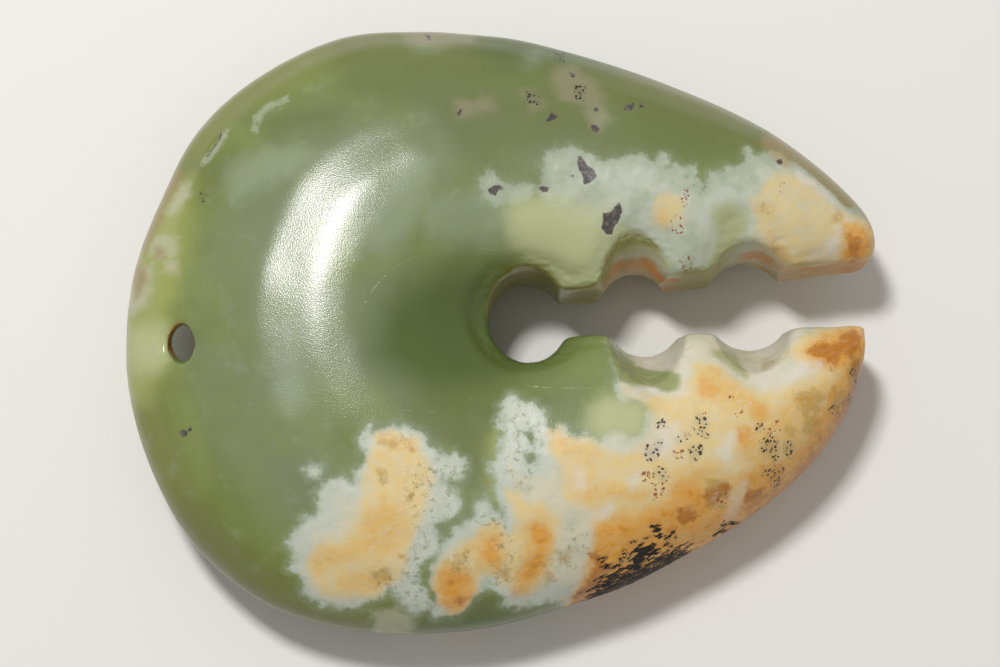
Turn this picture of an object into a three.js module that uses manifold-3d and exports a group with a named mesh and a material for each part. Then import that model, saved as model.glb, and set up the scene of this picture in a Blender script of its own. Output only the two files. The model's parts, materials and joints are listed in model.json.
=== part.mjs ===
// A carved jade effigy pendant: one stone, ground to a thick pair of toothed jaws. A broad domed ring
// runs from the upper jaw tip, round the back, to the lower jaw tip. Inside it are a round hole, the
// dish that was ground round the hole, and a sawn slot that opens between the jaw tips. Two pairs of
// drilled notches leave two teeth and a blunt tip on each jaw, and a bore near the back edge takes a
// cord. Lengths are millimetres. X runs from the back to the jaw tips, Y across the jaws, and Z
// through the stone, which lies on a flat worn on its back.
import * as THREE from "three";
import { mergeVertices } from "three/addons/utils/BufferGeometryUtils.js";
import Module from "manifold-3d";

// Overall sizes.
const LENGTH = 82.6; // back edge to the longer jaw tip
const WIDTH = 67.6; // across the two jaws
const FRONT_CROWN = 11.6; // middle plane to the front's highest point
const BACK_CROWN = 10.4; // middle plane to the back's lowest point, before the flat was worn
const REST_FLAT_DEPTH = 1.6; // stone worn off the back crown
const OVERRUN = 4; // how far each cutting shape runs past what it cuts

// Section of the ring, from the outer edge to the wall of the slot or the hole.
const CREST_SHARE = 0.52; // of the section's breadth, from the outer edge to the crest
const RIM_POWER_SHARE = 0.62; // 0.5 makes the outer flank a quarter ellipse, and 1 a sharp edge
const SHOULDER_POWER_SHARE = 2.4; // how far the inner flank stays flat before it falls
const TAPER_POWER_SHARE = 0.42; // how fast the stone thins where the ring is narrow
const WALL_HEIGHT_SHARE = 0.62; // wall's height above the middle plane, of the crest's
const WALL_FILLET = 0.9; // between a face and the wall
const FILLET_LIMIT_SHARE = 0.25; // most of the section's breadth that the fillet takes

// Central hole and its dish.
const HOLE_RADIUS = 4.9; // across the slot
const HOLE_ALONG_SHARE = 0.84; // of that radius: the hole is a little shorter along the slot
const HOLE_X = 2.9; // hole's centre from the middle of LENGTH
const HOLE_Y = 0.4; // hole's centre from the middle of WIDTH
const DISH_REACH = 15; // hole's edge to the rim of the dish, towards the back
const DISH_SIDE_REACH = 5; // hole's edge to the rim of the dish, towards the jaws
const DISH_DROP = 3.4; // how far the dish sinks at the hole's edge, towards the back
const DISH_SIDE_DROP = 1.4; // how far it sinks there, towards the jaws

// Slot, sawn from the hole to the open end. Places along it are shares of its length.
const SLOT_LENGTH = LENGTH / 2 - HOLE_X; // from the hole's centre
const SLOT_TILT_DEG = 4.4; // the slot climbs towards the upper jaw
const FIRST_TEETH_GAP = 4.9;
const SECOND_TEETH_GAP = 6.2;
const MOUTH_ROOT_GAP = 6.3; // between the jaw tips, where their flats start
const MOUTH_GAP = 7.1; // between the jaw tips, at the open end
const WALLS_SHARE = 0.04; // where the walls leave the blind end
const FIRST_TEETH_SHARE = 0.156;
const SECOND_TEETH_SHARE = 0.479;
const MOUTH_SHARE = 0.75; // where the jaw tips' flats start
const UPPER_TIP_SHARE = 0.984; // where the upper flat ends
const LOWER_TIP_SHARE = 0.953; // where the lower flat ends

const HOLE_FLARE = 0.3; // how much wider the hole is at a face
const HOLE_FLARE_HEIGHT = 6; // middle plane to that face

// Notches, ground into the slot's walls. Each is a round bay of the waist's radius at the middle
// plane. Towards both faces it widens to the mouth's radius along the slot, and to the reach into
// the jaw, up for a positive one. The share is of the slot's length, and across is from the slot's
// centre line.
const NOTCHES = [
  { share: 0.307, across: 0.9, waist: 3.5, mouth: 3.9, reach: 6.4 },
  { share: 0.333, across: -0.6, waist: 4, mouth: 4.3, reach: -7.8 },
  { share: 0.635, across: 0.2, waist: 4.6, mouth: 4.7, reach: 5.9 },
  { share: 0.635, across: -0.3, waist: 4.5, mouth: 4.7, reach: -8 },
];
const NOTCH_MOUTH_HEIGHT = 7.5; // middle plane to where a notch's mouth and reach are measured

// Cord bore near the back edge: an almond in section, met by a wider round drilling from the back.
const BORE_INSET = 7.1; // back edge to the bore's axis, at the middle plane
const BORE_Y = -1.9; // its axis from the middle of WIDTH
const BORE_BREADTH = 3.3;
const BORE_HEIGHT = 4.7;
const BORE_LEAN_DEG = 9; // it leans towards the lower jaw as it rises
const BACK_DRILL_RADIUS = 2.6; // where the back drilling ends
const BACK_DRILL_MOUTH_RADIUS = 3.4;
const BACK_DRILL_TOP = 3; // above the middle plane
// Hollow that a cord wore beside the bore, towards the back edge.
const CORD_WEAR_LENGTH = 3.8;
const CORD_WEAR_WIDTH = 5;
const CORD_WEAR_DEPTH = 0.6;

// Outline, as shares of LENGTH and WIDTH from the stone's middle, from the upper jaw tip round the
// back to the lower one. Each row is the outer end of a rib. Its inner end is the matching point of
// innerEdgePoints().
const OUTER_EDGE_SHARES = [
  [0.5, 0.126], [0.491, 0.177], [0.457, 0.232], [0.374, 0.316], [0.313, 0.36], [0.23, 0.405],
  [0.141, 0.445], [0.075, 0.469], [0.014, 0.487], [-0.046, 0.495], [-0.112, 0.499],
  [-0.22, 0.488], [-0.34, 0.413], [-0.413, 0.326], [-0.455, 0.224], [-0.494, 0.085],
  [-0.499, -0.08], [-0.468, -0.223], [-0.405, -0.357], [-0.305, -0.455], [-0.19, -0.495],
  [-0.09, -0.499], [-0.01, -0.488], [0.068, -0.463], [0.16, -0.427], [0.25, -0.37],
  [0.33, -0.311], [0.405, -0.233], [0.459, -0.142], [0.478, -0.07], [0.479, -0.02],
];
// Compass directions of the rib ends round the blind end of the slot, in degrees.
const BLIND_END_DEGREES = [97, 108, 121, 137, 150, 161, 174, 188, 201, 214, 229, 243, 256];

// How finely the surfaces are faceted.
const RIBS_PER_SPAN = 3;
const FLANK_STEPS = 5;
const FILLET_STEPS = 2;
const DRILL_SIDES = 36;
const ALMOND_SIDES = 10;
const HOLLOW_RINGS = 12;

const wasm = await Module();
wasm.setup();

const { clamp, degToRad, lerp } = THREE.MathUtils;

// A share pair as a point of the outline.
function outlinePoint([xShare, yShare]) {
  return new THREE.Vector2(xShare * LENGTH, yShare * WIDTH);
}

// The point at a share of the slot's length, and at a distance across from its centre line.
function slotPoint(share, across) {
  const fromHole = new THREE.Vector2(share * SLOT_LENGTH, across);
  fromHole.rotateAround(new THREE.Vector2(), degToRad(SLOT_TILT_DEG));
  return fromHole.add(new THREE.Vector2(HOLE_X, HOLE_Y));
}

// Inner ends of the ribs: a nose, the slot's wall, its blind end, the other wall and the other nose.
function innerEdgePoints() {
  const noses = [outlinePoint(OUTER_EDGE_SHARES.at(0)), outlinePoint(OUTER_EDGE_SHARES.at(-1))];
  const stations = (tipShare) => [
    [tipShare, MOUTH_GAP],
    [(MOUTH_SHARE + tipShare) / 2, (MOUTH_ROOT_GAP + MOUTH_GAP) / 2],
    [MOUTH_SHARE, MOUTH_ROOT_GAP],
    [(MOUTH_SHARE + SECOND_TEETH_SHARE) / 2, (MOUTH_ROOT_GAP + SECOND_TEETH_GAP) / 2],
    [SECOND_TEETH_SHARE, SECOND_TEETH_GAP],
    [(SECOND_TEETH_SHARE + FIRST_TEETH_SHARE) / 2, (SECOND_TEETH_GAP + FIRST_TEETH_GAP) / 2],
    [FIRST_TEETH_SHARE, FIRST_TEETH_GAP],
    [WALLS_SHARE, FIRST_TEETH_GAP],
  ];
  const upperWall = stations(UPPER_TIP_SHARE).map(([share, gap]) => slotPoint(share, gap / 2));
  const lowerWall = stations(LOWER_TIP_SHARE).map(([share, gap]) => slotPoint(share, -gap / 2));
  const blindEnd = BLIND_END_DEGREES.map((degrees) => {
    const spoke = new THREE.Vector2(FIRST_TEETH_GAP / 2, 0);
    spoke.rotateAround(new THREE.Vector2(), degToRad(degrees));
    return spoke.add(slotPoint(0, 0));
  });
  return [noses[0], ...upperWall, ...blindEnd, ...lowerWall.reverse(), noses[1]];
}

// A smooth curve that reaches the points at even steps of its parameter.
function smoothCurve(points) {
  const places = points.map((point) => new THREE.Vector3(point.x, point.y, 0));
  return new THREE.CatmullRomCurve3(places, false, "centripetal");
}

const outerEdge = smoothCurve(OUTER_EDGE_SHARES.map(outlinePoint));
const innerEdge = smoothCurve(innerEdgePoints());
const RIB_COUNT = (OUTER_EDGE_SHARES.length - 1) * RIBS_PER_SPAN;
const ribs = Array.from({ length: RIB_COUNT + 1 }, (_, i) => {
  const outer = outerEdge.getPoint(i / RIB_COUNT);
  const inner = innerEdge.getPoint(i / RIB_COUNT);
  return { outer, inner, breadth: outer.distanceTo(inner) };
});
const broadest = Math.max(...ribs.map((rib) => rib.breadth));
const boreX = BORE_INSET - LENGTH / 2;

// How far the dish has sunk at a place: it is deepest at the hole's edge and longest to the back.
function dishDepth(place) {
  const fromHole = new THREE.Vector2(place.x - HOLE_X, place.y - HOLE_Y);
  const distance = fromHole.length();
  const backward = clamp(-fromHole.x / distance, 0, 1);
  const reach = lerp(DISH_SIDE_REACH, DISH_REACH, backward);
  const drop = lerp(DISH_SIDE_DROP, DISH_DROP, backward);
  const sunk = clamp(1 - (distance - HOLE_RADIUS) / reach, 0, 1);
  return drop * sunk ** 2;
}

// Height of a face above the middle plane, at a share of the rib's breadth from the outer edge.
function faceHeight(rib, crown, share) {
  const crest = crown * (rib.breadth / broadest) ** TAPER_POWER_SHARE;
  if (share < CREST_SHARE) return crest * (1 - (1 - share / CREST_SHARE) ** 2) ** RIM_POWER_SHARE;
  const inward = (share - CREST_SHARE) / (1 - CREST_SHARE);
  const flank = crest * (1 - (1 - WALL_HEIGHT_SHARE) * inward ** SHOULDER_POWER_SHARE);
  return flank - dishDepth(rib.outer.clone().lerp(rib.inner, share));
}

// One face of a rib, from the outer edge to the middle of the wall, as shares and heights.
function faceProfile(rib, crown) {
  const fillet = Math.min(WALL_FILLET, rib.breadth * FILLET_LIMIT_SHARE);
  const edgeShare = 1 - fillet / rib.breadth;
  const profile = [];
  for (let step = 1; step <= FLANK_STEPS; step += 1) {
    const share = CREST_SHARE * (1 - Math.cos((Math.PI / 2) * (step / FLANK_STEPS)));
    profile.push([share, faceHeight(rib, crown, share)]);
  }
  for (let step = 1; step <= FLANK_STEPS; step += 1) {
    const share = lerp(CREST_SHARE, edgeShare, step / FLANK_STEPS);
    profile.push([share, faceHeight(rib, crown, share)]);
  }
  const edgeHeight = profile.at(-1)[1];
  for (let step = 1; step <= FILLET_STEPS; step += 1) {
    const angle = (Math.PI / 2) * (step / FILLET_STEPS);
    const share = edgeShare + (fillet * Math.sin(angle)) / rib.breadth;
    profile.push([share, edgeHeight - fillet * (1 - Math.cos(angle))]);
  }
  return profile;
}

// Height of the front face at a place, from the rib that passes nearest.
function frontHeightAt(x, y) {
  const place = new THREE.Vector3(x, y, 0);
  const crossings = ribs.slice(1, -1).map((rib) => {
    const line = new THREE.Line3(rib.outer, rib.inner);
    const share = line.closestPointToPointParameter(place, true);
    return { rib, share, distance: line.at(share, new THREE.Vector3()).distanceTo(place) };
  });
  const nearest = crossings.reduce((a, b) => (a.distance < b.distance ? a : b));
  return faceHeight(nearest.rib, FRONT_CROWN, nearest.share);
}

// The closed section of a rib, as points in space.
function sectionOf(rib) {
  const front = faceProfile(rib, FRONT_CROWN);
  const back = faceProfile(rib, BACK_CROWN).map(([share, height]) => [share, -height]);
  return [[0, 0], ...front, ...back.reverse()].map(([share, height]) => {
    const place = rib.outer.clone().lerp(rib.inner, share);
    return place.setZ(height);
  });
}

// The stone before any drilling: the ribs' sections, joined from nose to nose.
function ringGeometry() {
  const sections = ribs.slice(1, -1).map(sectionOf);
  const size = sections[0].length;
  const points = [ribs.at(0).outer, ...sections.flat(), ribs.at(-1).outer];
  const at = (row, column) => 1 + row * size + (column % size);
  const last = points.length - 1;
  const index = [];
  for (let column = 0; column < size; column += 1) {
    index.push(0, at(0, column), at(0, column + 1));
    index.push(last, at(sections.length - 1, column + 1), at(sections.length - 1, column));
    for (let row = 0; row < sections.length - 1; row += 1) {
      const [a, b] = [at(row, column), at(row, column + 1)];
      const [c, d] = [at(row + 1, column), at(row + 1, column + 1)];
      index.push(a, c, b, b, c, d);
    }
  }
  const geometry = new THREE.BufferGeometry().setFromPoints(points);
  geometry.setIndex(index);
  return geometry;
}

// A closed geometry as a solid that can be joined and cut.
function solidOf(geometry) {
  geometry.deleteAttribute("normal");
  geometry.deleteAttribute("uv");
  const merged = mergeVertices(geometry);
  const vertProperties = new Float32Array(merged.attributes.position.array);
  const triVerts = new Uint32Array(merged.index.array);
  return new wasm.Manifold(new wasm.Mesh({ numProp: 3, vertProperties, triVerts }));
}

// A solid back as a geometry with flat facets.
function geometryOf(solid) {
  const mesh = solid.getMesh();
  const geometry = new THREE.BufferGeometry();
  geometry.setAttribute("position", new THREE.BufferAttribute(mesh.vertProperties, 3));
  geometry.setIndex(new THREE.BufferAttribute(mesh.triVerts, 1));
  geometry.computeVertexNormals();
  return geometry;
}

// A round cutter that stands along Z, from pairs of radius and height that start at the bottom.
function turnedCutter(radiiAndHeights, sides) {
  const bottom = radiiAndHeights.at(0)[1];
  const top = radiiAndHeights.at(-1)[1];
  const profile = [[0, bottom], ...radiiAndHeights, [0, top]];
  const points = profile.map(([radius, height]) => new THREE.Vector2(radius, height));
  return new THREE.LatheGeometry(points, sides).rotateX(Math.PI / 2);
}

// An hourglass, narrowest at the middle plane and past both faces.
function hourglassCutter(waist, mouth, mouthHeight) {
  const height = mouthHeight + OVERRUN;
  const end = waist + (mouth - waist) * (height / mouthHeight);
  return turnedCutter([[end, -height], [waist, 0], [end, height]], DRILL_SIDES);
}

function holeCutter() {
  const cutter = hourglassCutter(HOLE_RADIUS, HOLE_RADIUS + HOLE_FLARE, HOLE_FLARE_HEIGHT);
  cutter.scale(HOLE_ALONG_SHARE, 1, 1).rotateZ(degToRad(SLOT_TILT_DEG));
  return cutter.translate(HOLE_X, HOLE_Y, 0);
}

// A notch's hourglass, with the half on the jaw's side drawn out towards both faces.
function notchCutter({ share, across, waist, mouth, reach }) {
  const cutter = hourglassCutter(waist, mouth, NOTCH_MOUTH_HEIGHT);
  const corners = cutter.attributes.position;
  for (let i = 0; i < corners.count; i += 1) {
    const place = new THREE.Vector3().fromBufferAttribute(corners, i);
    const heightShare = Math.abs(place.z) / NOTCH_MOUTH_HEIGHT;
    const stretch = 1 + (Math.abs(reach) / mouth - 1) * heightShare;
    if (place.y * reach > 0) corners.setY(i, place.y * stretch);
  }
  const centre = slotPoint(share, across);
  return cutter.translate(centre.x, centre.y, 0);
}

// Leans a cutter that stands along Z as the bore leans, and moves it to the bore's axis.
function toBore(cutter) {
  return cutter.rotateX(degToRad(BORE_LEAN_DEG)).translate(boreX, BORE_Y, 0);
}

// The almond that runs right through: two arcs of one radius that meet at points.
function boreCutter() {
  const radius = (BORE_BREADTH ** 2 + BORE_HEIGHT ** 2) / (4 * BORE_BREADTH);
  const centre = radius - BORE_BREADTH / 2;
  const halfAngle = Math.acos(centre / radius);
  const almond = new THREE.Shape();
  almond.absarc(-centre, 0, radius, -halfAngle, halfAngle, false);
  almond.absarc(centre, 0, radius, Math.PI - halfAngle, Math.PI + halfAngle, false);
  const depth = FRONT_CROWN + BACK_CROWN + OVERRUN;
  const options = { depth, curveSegments: ALMOND_SIDES, bevelEnabled: false };
  return toBore(new THREE.ExtrudeGeometry(almond, options).translate(0, 0, -BACK_CROWN));
}

function backDrillCutter() {
  const profile = [[BACK_DRILL_MOUTH_RADIUS, -BACK_CROWN], [BACK_DRILL_RADIUS, BACK_DRILL_TOP]];
  return toBore(turnedCutter(profile, DRILL_SIDES));
}

// The shallow oval that the cord wore into the front face.
function cordWearCutter() {
  const x = boreX - (BORE_BREADTH + CORD_WEAR_LENGTH) / 2;
  const rise = frontHeightAt(x, BORE_Y);
  const y = BORE_Y - rise * Math.tan(degToRad(BORE_LEAN_DEG));
  const oval = new THREE.SphereGeometry(1, DRILL_SIDES, HOLLOW_RINGS);
  oval.scale(CORD_WEAR_LENGTH / 2, CORD_WEAR_WIDTH / 2, CORD_WEAR_DEPTH);
  return oval.translate(x, y, frontHeightAt(x, y));
}

// The slab that takes the worn flat off the back.
function restFlatCutter() {
  const thickness = REST_FLAT_DEPTH + OVERRUN;
  const level = -(BACK_CROWN - REST_FLAT_DEPTH);
  const slab = new THREE.BoxGeometry(LENGTH + OVERRUN, WIDTH + OVERRUN, thickness);
  return slab.translate(0, 0, level - thickness / 2);
}

function carvedStone() {
  const cutters = [
    holeCutter(),
    ...NOTCHES.map(notchCutter),
    boreCutter(),
    backDrillCutter(),
    cordWearCutter(),
    restFlatCutter(),
  ];
  return cutters.reduce((stone, cutter) => stone.subtract(solidOf(cutter)), solidOf(ringGeometry()));
}

const jade = new THREE.MeshStandardMaterial({ color: 0x8c9a63, roughness: 0.28, metalness: 0 });
const stone = new THREE.Mesh(geometryOf(carvedStone()), jade);
stone.name = "jade_carving";

// The origin is the middle of the stone's box, at the level of the flat that it lies on.
const box = new THREE.Box3().setFromObject(stone);
const middle = box.getCenter(new THREE.Vector3());
stone.position.set(-middle.x, -middle.y, -box.min.z);

const carving = new THREE.Group();
carving.add(stone);

export default carving;
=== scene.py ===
"""A jade pendant carved as a pair of toothed jaws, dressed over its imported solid.

Lengths in tables and fields are millimetres, and Blender's own are metres. X runs from the back of
the stone to its jaw tips, Y across the jaws, and the stone lies on the worn flat of its back.
"""

import json
import math

import bpy
import numpy as np
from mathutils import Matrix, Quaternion, Vector, noise

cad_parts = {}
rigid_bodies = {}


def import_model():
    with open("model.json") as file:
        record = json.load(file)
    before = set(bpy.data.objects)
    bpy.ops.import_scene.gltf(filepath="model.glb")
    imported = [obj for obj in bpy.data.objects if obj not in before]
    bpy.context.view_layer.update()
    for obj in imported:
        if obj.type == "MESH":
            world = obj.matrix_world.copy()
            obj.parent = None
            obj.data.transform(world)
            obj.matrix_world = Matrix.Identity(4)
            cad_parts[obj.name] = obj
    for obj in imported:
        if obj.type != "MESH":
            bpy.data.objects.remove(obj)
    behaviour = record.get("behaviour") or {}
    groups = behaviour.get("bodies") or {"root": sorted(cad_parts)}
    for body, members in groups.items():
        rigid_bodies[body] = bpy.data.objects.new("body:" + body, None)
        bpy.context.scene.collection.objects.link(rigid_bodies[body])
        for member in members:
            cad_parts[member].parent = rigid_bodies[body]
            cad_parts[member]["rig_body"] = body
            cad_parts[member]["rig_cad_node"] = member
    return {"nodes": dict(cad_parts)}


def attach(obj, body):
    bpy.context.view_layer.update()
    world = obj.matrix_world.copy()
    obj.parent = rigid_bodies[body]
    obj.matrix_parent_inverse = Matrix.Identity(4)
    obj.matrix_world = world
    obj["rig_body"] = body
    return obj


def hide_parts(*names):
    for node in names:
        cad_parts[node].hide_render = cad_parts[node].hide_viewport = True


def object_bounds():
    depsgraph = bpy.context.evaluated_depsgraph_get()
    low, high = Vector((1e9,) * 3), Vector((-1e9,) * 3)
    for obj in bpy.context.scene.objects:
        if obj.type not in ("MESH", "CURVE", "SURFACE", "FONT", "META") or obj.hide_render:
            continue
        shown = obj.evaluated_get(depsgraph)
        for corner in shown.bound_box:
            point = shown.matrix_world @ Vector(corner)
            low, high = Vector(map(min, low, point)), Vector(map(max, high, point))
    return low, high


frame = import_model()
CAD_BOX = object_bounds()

bl_info = {
    "name": "Jade jaw pendant",
    "version": (1, 0, 0),
    "blender": (4, 5, 0),
    "location": "3D View > Sidebar > Pendant",
    "description": "A polished jade pendant with weathered patches, and the stage it lies on",
    "category": "Add Mesh",
}

MM = 0.001
SOLID = "jade_carving"

# Where the carving's cuts are, as the solid has them.
HOLE = (2.97, 0.44)
HOLE_RADIUS = 5.4
SLOT_TURN = math.radians(4.4)
SLOT_HALF_WIDTH = 3.3
# Distance along the slot from the hole, distance across it, and half length and reach at the face.
NOTCHES = (
    (11.8, 0.9, 4.0, 6.6),
    (12.8, -0.6, 4.4, 8.0),
    (24.4, 0.2, 4.8, 6.1),
    (24.4, -0.3, 4.8, 8.2),
)
BORE = (-34.1, -1.9)
BORE_RADIUS = 2.4
# Middle and half sizes of the stone that closes the undercut between the worn hollow and the bore.
FILLING = (-36.5, -2.65, 14.15), (0.7, 2.5, 0.8)

# How the skin is worked, by distance from the cuts in plan and by height: where each work starts,
# and where it has its full strength.
EASED = (0.3, 2.6)
SUNK, SUNK_LEVELS = (2.0, 0.0), (9.5, 13)
BROW, BROW_LEVELS = (2.8, 0.7), (10.5, 13.5)
CHIPPED, CHIPPED_LEVELS = (1.5, 0.2), (12, 15)
BORE_WALL = (1.8, 0.8)
BORE_LOSS = 0.25  # what the easing takes off the bore's wall
# The same by the upward share of the surface's normal.
FRONT = (0.1, 0.5)
UNDERSIDE = (-0.1, -0.5)
BACK = (0.15, -0.6)
BELOW = (0.1, -0.3)
WALLS = (0.7, 0.25)

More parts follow.
